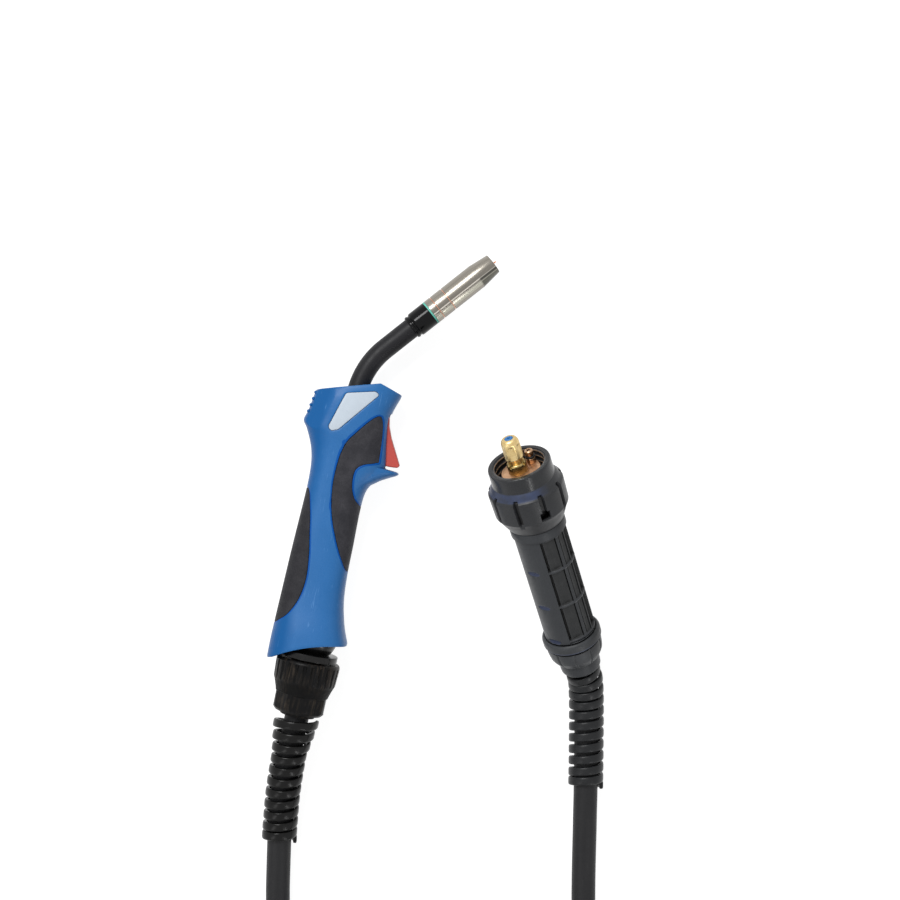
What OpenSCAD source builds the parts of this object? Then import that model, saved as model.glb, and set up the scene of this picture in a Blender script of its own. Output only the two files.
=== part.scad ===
// Gas-cooled MIG welding torch with its cable and its central connector.
// The torch lies on its side and the connector's nose is raised by the stiff cable.
// Z is up, the table is at Z = 0, and the torch's middle is at X = Y = 0.

/* [Handle] */
// Length of the handle from its tail tip to the top of its head
handle_len = 202; // [190:1:225]
// Lean of the handle on the table, in degrees
handle_lean = 12; // [0:1:18]
// Front to back depth of the grip
grip_depth = 41.5; // [39:0.5:46]
// Side to side thickness of the grip
grip_thick = 34; // [32:0.5:38]
// Side to side thickness of the head
head_thick = 40; // [38:0.5:43]
// Side to side thickness of the tail
tail_thick = 45; // [45:0.5:48]
// How far the tail's front lip stands out from the grip
tail_flare = 10; // [7:0.5:12]
// Wall of the handle shells
wall = 2.6; // [2:0.1:3]
// Depth of the pockets for the soft grips and the plates
pocket_depth = 1.2; // [0.8:0.1:1.5]
// Number of thumb ribs on the back of the head
thumb_ribs = 4; // [3:1:5]

/* [Trigger] */
// Width of the trigger
trigger_w = 15; // [13:0.5:16]
// Length of the trigger from its top to its toe
trigger_len = 35; // [33:0.5:36]
// Swing of the trigger when it is pulled, in degrees
trigger_swing = 6; // [4:0.5:7]
// Diameter of the trigger's pin
trigger_pin_d = 3; // [2.5:0.5:4]
// Reach of the guard horn in front of the grip's front line
horn_reach = 20.5; // [18:0.5:23]

/* [Neck] */
// Outer diameter of the neck's sleeve
neck_d = 14.4; // [13:0.2:15]
// Bend of the neck, in degrees
neck_bend = 39.7; // [30:0.1:50]
// Radius of the neck's bend
neck_radius = 56; // [45:1:70]
// Straight length of the neck in front of its bend
neck_straight = 23.4; // [18:0.2:30]
// Outer diameter of the nozzle and its insulator
nozzle_d = 18; // [17:0.5:20]
// Length of the gas nozzle
nozzle_len = 55; // [50:1:60]
// Outer diameter at the nozzle's mouth
nozzle_tip_d = 14.6; // [14:0.2:16]
// Diameter of the contact tip
contact_tip_d = 8; // [6:0.5:9]
// Diameter of the welding wire
wire_d = 1; // [0.8:0.2:1.2]
// Length of wire that stands out of the nozzle
wire_out = 2.4; // [1:0.2:8]

/* [Swivel] */
// Diameter of the ball in the handle's tail
ball_d = 34; // [32:0.5:35]
// Diameter of the collar under the ball
collar_d = 39; // [38:0.5:43]
// Largest diameter of the swivel cup
cup_d = 44.8; // [43:0.2:45]
// Length of the swivel cup
cup_len = 37.3; // [34:0.1:40]

/* [Cable] */
// Outer diameter of the cable
cable_d = 17; // [15:0.5:17]
// Gap between the turns of the coil
coil_gap = 0.5; // [0.5:0.1:1]
// Whole turns in each layer of the coil
coil_turns = 2; // [1:1:2]
// Length of the spring over each end of the cable
spring_len = 97; // [80:1:110]
// Pitch of the springs
spring_pitch = 8.1; // [7.5:0.1:9]
// Width of the springs' flat wire
spring_band = 5.8; // [5:0.1:6.5]
// Thickness of the springs' flat wire
spring_thick = 2.5; // [2:0.1:2.6]

/* [Connector] */
// Length of the connector from its cable gland to the rim of its nut
plug_len = 171; // [160:1:180]
// Rise of the connector's axis above the table, in degrees
plug_rise = 29; // [29:1:29]
// Turn of the connector's axis away from +Y, in degrees
plug_turn = 18.3; // [10:0.1:25]
// Diameter of the connector's handle
plug_d = 35.6; // [34:0.2:38]
// Wall of the connector's shells
plug_wall = 3; // [2.5:0.1:3.5]
// Diameter over the lobes of the coupling nut
nut_d = 51; // [49:0.5:54]
// Diameter of the coupling nut's smooth rim
nut_rim_d = 42.2; // [41:0.2:44]
// Inner diameter of the coupling nut's thread
nut_bore_d = 33.6; // [33:0.2:34]
// Pitch of the coupling nut's thread
thread_pitch = 4; // [3:0.5:5]
// Number of lobes round the coupling nut
nut_lobes = 9; // [6:1:12]
// Diameter of the brass body that the pins stand on
block_d = 26.4; // [26:0.1:27]
// Diameter of the main current pin
main_pin_d = 13; // [12:0.2:13.6]
// Height of the liner nut's end above the rim of the coupling nut
pin_reach = 19.5; // [16:0.5:22]
// Diameter of the gas nipple
gas_nipple_d = 5.8; // [5:0.1:6]
// Travel of the two spring-loaded signal pins
signal_travel = 2.5; // [1.5:0.1:3]

/* [Hidden] */
$fn = 48;
// Running clearance of a pin in its bore, on the radius
run_gap = 0.05;
// Clearance between pieces that move past each other
move_gap = 0.3;
// Small overlap that joins two shapes of one piece
bite = 0.2;
// Step in a tube's diameter where a bend meets a straight
seam = 0.04;

// Places on the table
gland_exit = [-59.3, -160.2];
torch_mid_z = tail_thick / 2;
plug_exit = [139.3, -125, 25];

// Handle outline: distances from the tail are plain, those of the head count back from head_y
head_y = handle_len;
grip_half = grip_depth / 2;
tail_half = tail_thick / 2;
waist_half = grip_thick / 2;
head_half = head_thick / 2;
roof_peak = 0.735;
// Each row: back x, back y, front x, front y, half thickness, tail hollow, roof height
handle_rows = [
    [-grip_half - 1.8, 0, grip_half + tail_flare, 18.9, tail_half, 4.3, 0],
    [-grip_half - 2, 13, grip_half + 0.5 * tail_flare, 32, tail_half - 1, 3, 0],
    [-grip_half - 1.7, 30, grip_half + 1.1, 49, tail_half - 3, 1, 0],
    [-grip_half - 1.2, 52, grip_half - 0.3, 68, waist_half + 0.8, 0, 0],
    [-grip_half - 0.5, 80, grip_half - 0.5, 88, waist_half, 0, 0],
    [-grip_half + 0.5, head_y - 94, grip_half - 0.9, head_y - 91, waist_half, 0, 0],
    [-grip_half + 0.9, head_y - 76, grip_half - 0.1, head_y - 77, waist_half + 0.5, 0, 0],
    [-grip_half + 0.1, head_y - 62, grip_half + 3.4, head_y - 69, waist_half + 1.2, 0, 0],
    [-grip_half - 2.6, head_y - 51, grip_half + 8.6, head_y - 62.5, head_half - 1.2, 0, 0],
    [-grip_half - 7.6, head_y - 40.3, grip_half + 11.1, head_y - 55.5, head_half - 0.5, 0, 0],
    [-grip_half - 11, head_y - 34.7, grip_half + 10.4, head_y - 49, head_half, 0, 0],
    [-grip_half - 9.1, head_y - 27, grip_half + 8.3, head_y - 37, head_half, 0, 0],
    [-grip_half - 7.2, head_y - 15, grip_half + 6.7, head_y - 20.5, head_half, 0, 1],
    [-grip_half - 6.4, head_y - 12.3, grip_half + 11.4, head_y - 4.2, head_half - 1.2, 0, 7]
];
section_power = 0.72;
section_points = 24;
row_steps = 2;

// Trigger and its switch
slot_half = trigger_w / 2 + 0.7;
toe_y = head_y - 20.7 - trigger_len;
slot_low = toe_y - 0.7;
slot_high = head_y - 18.6;
pivot = [19.8, head_y - 25];
trigger_back = 20.5;
frame_low = slot_low + 8;
frame_h = pivot[1] + 2.7 - frame_low;
switch_y = head_y - 38;
switch_x = 18;
button_d = 3;
button_gap = 0.3;
button_x = switch_x - 4.3;
button_travel = (pivot[1] - switch_y) * sin(trigger_swing);
pin_len = trigger_w + 6;
block_y = head_y - 86;

// Neck and head
neck_x = 0.5;
neck_y = head_y - 10.4;
neck_low = head_y - 56;
sleeve_wall = 1.6;
tube_d = neck_d - 2 * sleeve_wall - 2 * run_gap;
liner_d = 4;
insulator_len = 16.8;
seal_len = 1.2;
nozzle_wall = 1.3;
nozzle_z = neck_straight + insulator_len + seal_len;
mouth_z = nozzle_z + nozzle_len;
holder_z = nozzle_z + 3;
holder_len = 20;
tip_z = holder_z + holder_len;
tip_end = mouth_z - 3;

// Swivel, along the handle's Y
swivel_x = 6.5;
ball_y = 20;
ball_top = ball_y + 12;
collar_top = 9;
collar_low = 4.4;
cup_top = 3.4;
cup_low = cup_top - cup_len;
gland_len = 2.1;
stem_d = 24;
stem_low = -9;
lead_bore_d = 17.8;
core_d = 8;

// Cable and coil
coil_center = [34, -430];
coil_out = 108;
turn_step = cable_d + coil_gap;
layer_z = 8.6;
coil_sides = 6;
coil_rings = 24;
cable_sides = 10;
// Route of the cable from the swivel cup to the coil
torch_route = [
    [-59.3, -160.2, 22.5], [-61.8, -172, 22.5], [-64.3, -184, 21.4], [-66.6, -196, 19.7],
    [-68.7, -208, 17.8], [-70.4, -220, 16], [-71.5, -232, 14.4], [-72.5, -244, 13.2],
    [-73, -256, 12.6], [-73.5, -270, 11.8], [-74, -286, 10.4], [-74, -306, 9.2],
    [-74, -332, 8.6], [-74, -364, 8.6], [-74, -398, 8.6], [-74, -430, 8.6]
];
// Route of the cable from the connector to the coil
plug_route = [
    [139.3, -125, 25], [142.6, -135, 19.2], [143.6, -146.2, 15.3], [143.9, -158, 13.1],
    [143.9, -170, 12.6], [143.8, -182, 12.6], [143.7, -194, 12.6], [143.5, -206, 12.6],
    [143.3, -218, 12.6], [143, -230, 12.4], [142.8, -244, 11.4], [142.5, -260, 10],
    [142.2, -278, 9.2], [142, -298, 10], [142, -320, 12.4], [142, -344, 16.2],
    [142, -370, 20.8], [142, -398, 24.6], [142, -430, 26.1]
];
spring_rings = 8;
spring_in = cable_d / 2 + 1.2;
cup_spring_in = 13.4;

// Connector, along its own Z from the end of its gland
gland_h = 5;
cap_len = 27;
ring_z = [34.3, 63.8, 92.5];
collar_z = 118.5;
shell_end = 125.4;
nut_low = 126;
lip_h = 6;
flange_h = 3.6;
thread_count = 5;
block_end = plug_len - 5.5;
block_low = 105;
pin_x = -1.6;
nipple_at = [8.5, 5.5];
signal_at = [[-5, 8.8], [2.2, 9.8]];
signal_d = 2.4;
plug_core_d = 10;
plug_screw_z = [52, 100];

function unit(v) = v / norm(v);
function mix(a, b, t) = a + (b - a) * t;
function signed_power(v, p) = sign(v) * pow(abs(v), p);

// Smooth curve through a list of points or rows, u counts the points
function point_before(p, i) = i > 0 ? p[i - 1] : 2 * p[0] - p[1];
function point_after(p, i) = i < len(p) - 1 ? p[i + 1] : 2 * p[i] - p[i - 1];
function smooth_step(a, b, c, d, t) =
    0.5 * (2 * b + (c - a) * t + (2 * a - 5 * b + 4 * c - d) * t * t
    + (3 * b - a - 3 * c + d) * t * t * t);
function smooth_at(p, u) =
    let (i = min(floor(u), len(p) - 2))
    smooth_step(point_before(p, i), p[i], p[i + 1], point_after(p, i + 1), u - i);

// Triangles between rings of n points, with a fan at each end round an end point
function ring_faces(rings, n) = [
    for (i = [0:rings - 2], j = [0:n - 1], k = [0:1])
        let (a = i * n + j, b = i * n + (j + 1) % n)
        k == 0 ? [a, b + n, b] : [a, a + n, b + n]
];
function fan_faces(start, n, hub, flip) = [
    for (j = [0:n - 1])
        let (a = start + j, b = start + (j + 1) % n)
        flip ? [hub, a, b] : [hub, b, a]
];

// Handle body: rings from the rows, drawn in by inset, and open past the tail if inset
function inset_row(row, inset, first, last) = [
    row[0] + inset, row[1] - (first && inset > 0 ? 8 : 0) - (last ? inset : 0),
    row[2] - inset, row[3] - (first && inset > 0 ? 8 : 0) - (last ? inset : 0),
    row[4] - inset, row[5], row[6]
];
function inset_rows(inset) = [
    for (i = [0:len(handle_rows) - 1])
        inset_row(handle_rows[i], inset, i == 0, i == len(handle_rows) - 1)
];
function roof(s) = s < roof_peak ? s / roof_peak : (1 - s) / (1 - roof_peak);
function row_y(row, s) =
    mix(row[1], row[3], s) + row[5] * 4 * s * (1 - s) + row[6] * roof(min(1, max(0, s)));
function row_point(row, a) =
    let (s = 0.5 - 0.5 * signed_power(cos(a), section_power))
    [mix(row[0], row[2], s), row_y(row, s), row[4] * signed_power(sin(a), section_power)];
function row_hub(row, s) = [mix(row[0], row[2], s), row_y(row, s), 0];

// Centre line, frame and rings of a tube along a route
function route_point(p, u) = smooth_at(p, u);
function route_heading(p, u) =
    let (a = max(0, u - 0.02), b = min(len(p) - 1, u + 0.02))
    unit(smooth_at(p, b) - smooth_at(p, a));
function side_of(t) = unit(cross([0, 0, 1], t));
function top_of(t) = cross(t, side_of(t));
function tube_ring(c, t, r, sides) = [
    for (j = [0:sides - 1])
        let (a = 360 * (j + 0.5) / sides)
        c + r * (cos(a) * side_of(t) + sin(a) * top_of(t))
];

// Coil: two spiral layers with a climb in the half turn where the spiral reverses
coil_in = coil_out - coil_turns * turn_step;
coil_total = 360 * (2 * coil_turns + 0.5);
climb_start = 360 * coil_turns;
climb_end = climb_start + 180;
function coil_radius(g) =
    g < climb_start + 90 ? coil_out - turn_step * g / 360
    : coil_out - turn_step * (coil_total - g) / 360;
function coil_height(g) =
    let (t = min(1, max(0, (g - climb_start) / 180)))
    layer_z + turn_step * (1 - cos(180 * t)) / 2;
function coil_point(g) =
    [coil_center[0] - coil_radius(g) * cos(g), coil_center[1] - coil_radius(g) * sin(g),
    coil_height(g)];
function coil_heading(g) =
    g <= 0 ? [0, -1, 0]
    : g >= coil_total ? [0, 1, 0]
    : unit(coil_point(g + 1) - coil_point(g - 1));

// Spring: a flat wire wound round the smooth route, wider at its first turns if flared
spring_profile = [
    [-0.5, 0], [-0.38, -0.5], [0.38, -0.5], [0.5, 0], [0.38, 0.5], [-0.38, 0.5]
];
spring_turns = floor(spring_len / spring_pitch);
route_step = 12.2;
function spring_inner(turn, flared) =
    flared ? mix(cup_spring_in, spring_in, min(1, turn / 3)) : spring_in;
function spring_ring(p, k, flared) =
    let (turn = k / spring_rings,
        u = (1 + spring_band / 2 + turn * spring_pitch) / route_step,
        c = route_point(p, u), t = route_heading(p, u), a = 360 * turn,
        out = cos(a) * side_of(t) + sin(a) * top_of(t),
        r = spring_inner(turn, flared) + spring_thick / 2)
    [for (q = spring_profile) c + (r + q[1] * spring_thick) * out + q[0] * spring_band * t];

module ring_solid(rings, start_hub, end_hub) {
    n = len(rings[0]);
    points = concat([for (r = rings, q = r) q], [start_hub, end_hub]);
    hub = len(points) - 2;
    polyhedron(points,
        concat(ring_faces(len(rings), n), fan_faces(0, n, hub, true),
        fan_faces((len(rings) - 1) * n, n, hub + 1, false)));
}

module route_tube(p, d, sides) {
    rings = [
        for (i = [0:len(p) - 1])
            tube_ring(p[i], route_end_heading(p, i), d / 2, sides)
    ];
    ring_solid(rings, p[0], p[len(p) - 1]);
}
function route_end_heading(p, i) =
    i == 0 ? unit(p[1] - p[0])
    : i == len(p) - 1 ? unit([0, p[i][1] - p[i - 1][1], 0])
    : unit(p[i + 1] - p[i - 1]);

module torch_place() {
    translate([gland_exit[0], gland_exit[1], torch_mid_z])
        rotate([0, 0, -handle_lean])
        translate([-swivel_x, gland_len - cup_low, 0])
        children();
}
// Turns Z to the handle's Y
module along_y() rotate([-90, 0, 0]) children();
module swivel_place() torch_place() translate([swivel_x, 0, 0]) along_y() children();
// Z along the nozzle, from the end of the neck's bend
module head_place() {
    torch_place()
        translate([neck_x, neck_y, 0])
        translate([neck_radius * (1 - cos(neck_bend)), neck_radius * sin(neck_bend), 0])
        rotate([0, 0, -neck_bend]) along_y() children();
}
module plug_place() {
    translate(plug_exit) rotate([0, 0, plug_turn]) rotate([plug_rise - 90, 0, 0]) children();
}

module ring_tube(outer_d, inner_d, h) {
    difference() {
        cylinder(d = outer_d, h = h);
        translate([0, 0, -1]) cylinder(d = inner_d, h = h + 2);
    }
}
// Straight below, bent along the neck and straight to the head, with a fine step at each end
module neck_run(outer_d, inner_d, low, front) {
    torch_place() translate([neck_x, 0, 0]) {
        translate([0, low, 0]) along_y()
            ring_tube(outer_d + seam, inner_d - seam, neck_y - low + bite);
        translate([neck_radius, neck_y, 0])
            rotate([0, 0, 180 - neck_bend])
            rotate_extrude(angle = neck_bend)
            translate([neck_radius, 0])
            difference() {
                circle(d = outer_d);
                circle(d = inner_d);
            }
    }
    head_place() translate([0, 0, -bite])
        ring_tube(outer_d + seam, inner_d - seam, front + bite);
}

// ---- Handle ----
module handle_loft(inset) {
    rows = inset_rows(inset);
    rings = [
        for (k = [0:row_steps * (len(rows) - 1)])
            let (row = smooth_at(rows, k / row_steps))
            [for (j = [0:section_points - 1]) row_point(row, 360 * j / section_points)]
    ];
    last = rows[len(rows) - 1];
    ring_solid(rings, row_hub(rows[0], 0.5), row_hub(last, roof_peak));
}
module half_space(side) {
    translate([-100, -50, side > 0 ? 0 : -60]) cube([220, 350, 60]);
}
function guard_points() = [
    [grip_half + 6, toe_y - 1.3], [grip_half + 15, toe_y - 1.5],
    [grip_half + horn_reach - 0.5, toe_y - 1.9], [grip_half + horn_reach, toe_y - 3.3],
    [grip_half + 16, toe_y - 6.3], [grip_half + 9, toe_y - 9.8],
    [grip_half + 3, toe_y - 14.3], [grip_half - 2, toe_y - 16.3]
];
module horn() {
    intersection() {
        translate([0, 0, -14]) linear_extrude(28) polygon(guard_points());
        translate([grip_half - 6, head_y - 80, 0]) along_y()
            cylinder(r = horn_reach + 6, h = 40);
    }
}
module thumb_rib_rows() {
    for (i = [0:thumb_ribs - 1])
        translate([-grip_half - 6.1 - 0.75 * i, head_y - 14.5 - 4.6 * i, 0])
            hull() for (z = [-10.5, 10.5]) translate([0, 0, z]) sphere(d = 2.4, $fn = 12);
}
module grip_prism(points) {
    n = len(points);
    outline = [for (k = [0:3 * n - 1]) smooth_at(concat(points, [points[0]]), k / 3)];
    translate([0, 0, -40]) linear_extrude(80) polygon(outline);
}
front_grip_points = [
    [21.6, head_y - 22], [26.3, head_y - 50], [24.4, head_y - 54], [16.2, head_y - 57],
    [11.6, head_y - 62], [11.6, head_y - 72], [15, head_y - 81], [21, head_y - 87.5],
    [26, head_y - 98], [26, head_y - 118], [21.5, head_y - 132.5], [14.4, head_y - 123],
    [7.4, head_y - 109], [1.8, head_y - 94], [-1.2, head_y - 78], [-1.6, head_y - 64],
    [0, head_y - 50], [5, head_y - 39]
];
rear_grip_points = [
    [-18.6, head_y - 80.5], [-13.6, head_y - 95], [-10.2, head_y - 112], [-7.6, 76], [-6.2, 60],
    [-8, 46.5], [-12.5, 36], [-18, 29.5], [-26, 25], [-28, 50], [-28, 80], [-26, head_y - 90]
];
plate_points = [
    [-5.6, head_y - 10.6], [14.6, head_y - 5.4], [17.4, head_y - 7.6], [-5.6, head_y - 36.6],
    [-10.6, head_y - 38.6], [-13, head_y - 36]
];
module plate_prism() {
    translate([0, 0, -40]) linear_extrude(80) polygon(plate_points);
}
module skin_piece(side) {
    intersection() {
        difference() {
            handle_loft(0);
            handle_loft(pocket_depth);
        }
        children();
        translate([0, 0, side * bite]) half_space(side);
    }
}
screw_spots = [[14.4, 52], [-8.8, head_y - 98], [-20, head_y - 27]];
screw_d = 3;
// A rib with its ends drawn in, as a moulded rib is
module seat_rib(at, size) {
    hull() {
        translate(at) cube([size[0], size[1] - 2, size[2]]);
        translate(at + [1, 0, 1]) cube(size - [2, 0, 2]);
    }
}
module ball_pads() {
    difference() {
        union() {
            seat_rib([swivel_x - 8, 17, -tail_half + 1.5], [16, 10, tail_thick - 3]);
            seat_rib([-grip_half + 0.6, 13, -9], [12, 13, 18]);
            seat_rib([swivel_x + 13, 20.5, -9], [7, 7, 18]);
        }
        translate([swivel_x, ball_y, 0]) sphere(d = ball_d + 2 * move_gap);
        translate([swivel_x, 0, 0]) along_y()
            cylinder(d = lead_bore_d + 6, h = 60);
    }
}
module neck_saddles() {
    difference() {
        for (y = [head_y - 44, head_y - 18])
            seat_rib([-6, y, -head_half + 1], [12, 5, head_thick - 2]);
        translate([neck_x, head_y - 60, 0]) along_y() cylinder(d = neck_d + 0.2, h = 60);
    }
}
module screw_bosses(side) {
    for (p = screw_spots)
        translate([p[0], p[1], side > 0 ? 0 : -waist_half + 1.7])
            cylinder(d = 7, h = waist_half - 1.7);
}
module screw_cuts(side) {
    for (p = screw_spots) {
        translate([p[0], p[1], -waist_half + 4]) cylinder(d = screw_d, h = waist_half + 7);
        translate([p[0], p[1], -30]) cylinder(d = 6.4, h = 30 - waist_half + 4);
    }
}
module handle_half(side) {
    difference() {
        union() {
            intersection() {
                union() {
                    difference() {
                        union() {
                            handle_loft(0);
                            thumb_rib_rows();
                        }
                        handle_loft(wall);
                    }
                    ball_pads();
                    neck_saddles();
                    horn();
                }
                half_space(side);
            }
            screw_bosses(side);
        }
        screw_cuts(side);
        translate([neck_x, neck_y - 4, 0]) rotate([0, 0, -5]) along_y()
            cylinder(d = neck_d + 1.4, h = 60);
        translate([12, slot_low, -slot_half]) cube([50, slot_high - slot_low, 2 * slot_half]);
        difference() {
            union() {
                grip_prism(front_grip_points);
                grip_prism(rear_grip_points);
                plate_prism();
            }
            handle_loft(pocket_depth);
        }
    }
}
module handle_left() color("royalblue") torch_place() handle_half(1);
module handle_right() color("royalblue") torch_place() handle_half(-1);
module front_grip_left() {
    color([0.22, 0.22, 0.23]) torch_place() skin_piece(1) grip_prism(front_grip_points);
}
module front_grip_right() {
    color([0.22, 0.22, 0.23]) torch_place() skin_piece(-1) grip_prism(front_grip_points);
}
module rear_grip_left() {
    color([0.22, 0.22, 0.23]) torch_place() skin_piece(1) grip_prism(rear_grip_points);
}
module rear_grip_right() {
    color([0.22, 0.22, 0.23]) torch_place() skin_piece(-1) grip_prism(rear_grip_points);
}
module side_plate_left() color("lightgray") torch_place() skin_piece(1) plate_prism();
module side_plate_right() color("lightgray") torch_place() skin_piece(-1) plate_prism();
module handle_screws() {
    color("dimgray") torch_place()
        for (p = screw_spots) {
            translate([p[0], p[1], -waist_half + 4]) cylinder(d = screw_d, h = waist_half + 6);
            translate([p[0], p[1], -waist_half + 1.5]) difference() {
                cylinder(d = 5.6, h = 2.5);
                translate([0, 0, -1]) cylinder(d = 2.6, h = 2.4, $fn = 6);
            }
        }
}

// ---- Trigger and switch ----
module trigger_frame() {
    color([0.15, 0.15, 0.16]) torch_place() difference() {
        union() {
            for (side = [0, 1])
                mirror([0, 0, side])
                    translate([8, frame_low, slot_half + 0.2]) cube([14.4, frame_h, 2]);
            translate([8, frame_low, -slot_half - 2.2])
                cube([2, frame_h, 2 * slot_half + 4.4]);
            translate([9, switch_y - 10, -4]) cube([3, 3, 8]);
        }
        translate([pivot[0], pivot[1], -20]) cylinder(d = trigger_pin_d, h = 40);
    }
}
module trigger_pin() {
    color("silver") torch_place()
        translate([pivot[0], pivot[1], -pin_len / 2]) cylinder(d = trigger_pin_d, h = pin_len);
}
// Toe of the trigger and the front curve that a finger pulls
trigger_outline = [
    [26.6, head_y - 20.6], [27.8, head_y - 27], [30.9, head_y - 34.7], [35.4, head_y - 43],
    [39.6, toe_y + 5], [40.6, toe_y + 3], [39.6, toe_y + 1.4], [36.6, toe_y + 1.1],
    [33, toe_y + 0.9], [21.6, toe_y + 1.5],
    [trigger_back, toe_y + 3.7], [trigger_back, head_y - 33], [17.2, head_y - 29],
    [17.2, head_y - 22.4],
    [19.4, head_y - 20]
];
module trigger() {
    color([0.73, 0.27, 0.23]) torch_place() difference() {
        translate([0, 0, -trigger_w / 2]) linear_extrude(trigger_w) polygon(trigger_outline);
        translate([pivot[0], pivot[1], -20])
            cylinder(d = trigger_pin_d + 2 * run_gap, h = 40);
    }
}
module microswitch() {
    color([0.1, 0.1, 0.1]) torch_place() difference() {
        translate([10, switch_y - 7, -4]) cube([switch_x - 10, 14, 8]);
        translate([switch_x - 4.5, switch_y, 0]) rotate([0, 90, 0])
            cylinder(d = button_d + 2 * run_gap, h = 10);
    }
}
module switch_button() {
    color("firebrick") torch_place()
        translate([button_x + button_travel, switch_y, 0]) rotate([0, 90, 0])
        cylinder(d = button_d, h = trigger_back - button_gap - button_x - button_travel);
}
module switch_leads() {
    color("saddlebrown") torch_place()
        for (z = [-2.5, 2.5])
            translate([13.5, 64, z]) along_y() cylinder(d = 2, h = switch_y - 7 - 64, $fn = 24);
}
module power_lead() {
    color("peru") torch_place()
        translate([swivel_x, 20, 0]) lead_path();
}
// Straight out of the swivel, then across to the torch block
module lead_path() {
    along_y() cylinder(d = 8, h = 24);
    reach = block_y + 4.2 - 43;
    shift = swivel_x - neck_x;
    translate([0, 23, 0]) rotate([0, 0, atan(shift / reach)]) along_y()
        cylinder(d = 8.6, h = norm([shift, reach]));
}
module torch_block() {
    color("goldenrod") torch_place()
        translate([neck_x, block_y, 0]) along_y() difference() {
            cylinder(d = 15, h = 30);
            translate([0, 0, -1]) cylinder(d = 11, h = 6);
            translate([0, 0, 14]) cylinder(d = tube_d + 2 * seam, h = 20);
        }
}

// ---- Neck and head ----
module neck_sleeve() {
    color([0.2, 0.2, 0.21])
        neck_run(neck_d, neck_d - 2 * sleeve_wall, neck_low + 2, neck_straight + 4);
}
module neck_tube() {
    color("peru") neck_run(tube_d, liner_d + 2, head_y - 72, nozzle_z + 1);
}
module neck_liner() {
    color("silver") neck_run(liner_d, wire_d + 1, head_y - 71, holder_z);
}
module insulator() {
    color([0.08, 0.08, 0.09]) head_place() translate([0, 0, neck_straight])
        rotate_extrude() polygon([
            [neck_d / 2 + seam, 0], [nozzle_d / 2 - 1, 0], [nozzle_d / 2 - 0.6, 0.8],
            [nozzle_d / 2 - 0.4, 2], [nozzle_d / 2 - 1, 2.4], [nozzle_d / 2 - 1, 3.2],
            [nozzle_d / 2 - 0.2, 3.8], [nozzle_d / 2, 4.8], [nozzle_d / 2, insulator_len],
            [tube_d / 2 + seam, insulator_len], [tube_d / 2 + seam, 4.1],
            [neck_d / 2 + seam, 4.1]
        ]);
}
module seal_ring() {
    color([0.35, 0.72, 0.66]) head_place() translate([0, 0, neck_straight + insulator_len])
        ring_tube(nozzle_d, tube_d + 2 * seam, seal_len);
}
module nozzle_spring() {
    color("silver") head_place() translate([0, 0, nozzle_z])
        ring_tube(tube_d + 2.4, tube_d + 0.4, 2.8);
}
module tip_holder() {
    color("goldenrod") head_place() difference() {
        union() {
            translate([0, 0, nozzle_z + 1]) cylinder(d = tube_d, h = 2);
            translate([0, 0, holder_z]) cylinder(d = tube_d + 1.6, h = holder_len - 6);
            translate([0, 0, holder_z + holder_len - 6]) cylinder(d = 9, h = 6);
        }
        translate([0, 0, nozzle_z]) cylinder(d = liner_d + 0.4, h = 12);
        translate([0, 0, nozzle_z + 8]) cylinder(d = wire_d + 1, h = 40);
        for (a = [0:60:300])
            rotate([0, 0, a]) translate([0, 0, holder_z + 9]) rotate([0, 90, 0])
                cylinder(d = 1.8, h = 12, $fn = 24);
    }
}
module contact_tip() {
    color("chocolate") head_place() difference() {
        union() {
            translate([0, 0, tip_z]) cylinder(d = contact_tip_d, h = tip_end - tip_z - 6);
            translate([0, 0, tip_end - 6])
                cylinder(d1 = contact_tip_d, d2 = contact_tip_d - 3, h = 6);
        }
        translate([0, 0, tip_z - 1]) cylinder(d = wire_d + 2 * run_gap, h = 60, $fn = 24);
    }
}
module gas_nozzle() {
    r = nozzle_d / 2;
    mouth = nozzle_tip_d / 2;
    taper = 14.6;
    color([0.75, 0.74, 0.72]) head_place() translate([0, 0, nozzle_z])
        rotate_extrude() polygon([
            [tube_d / 2 + 1.5, 0], [r, 0], [r, 4.7], [r - 0.4, 4.9], [r - 0.4, 5.4], [r, 5.6],
            [r, 14.4], [r - 0.4, 14.6], [r - 0.4, 15.2], [r, 15.4], [r, nozzle_len - taper],
            [mouth, nozzle_len], [mouth - nozzle_wall, nozzle_len],
            [r - nozzle_wall - 0.6, nozzle_len - taper], [r - nozzle_wall - 0.6, 3],
            [tube_d / 2 + 1.5, 3]
        ]);
}
module welding_wire() {
    color("chocolate") head_place() translate([0, 0, tip_z + 1])
        cylinder(d = wire_d, h = mouth_z + wire_out - tip_z - 1, $fn = 24);
}

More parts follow.
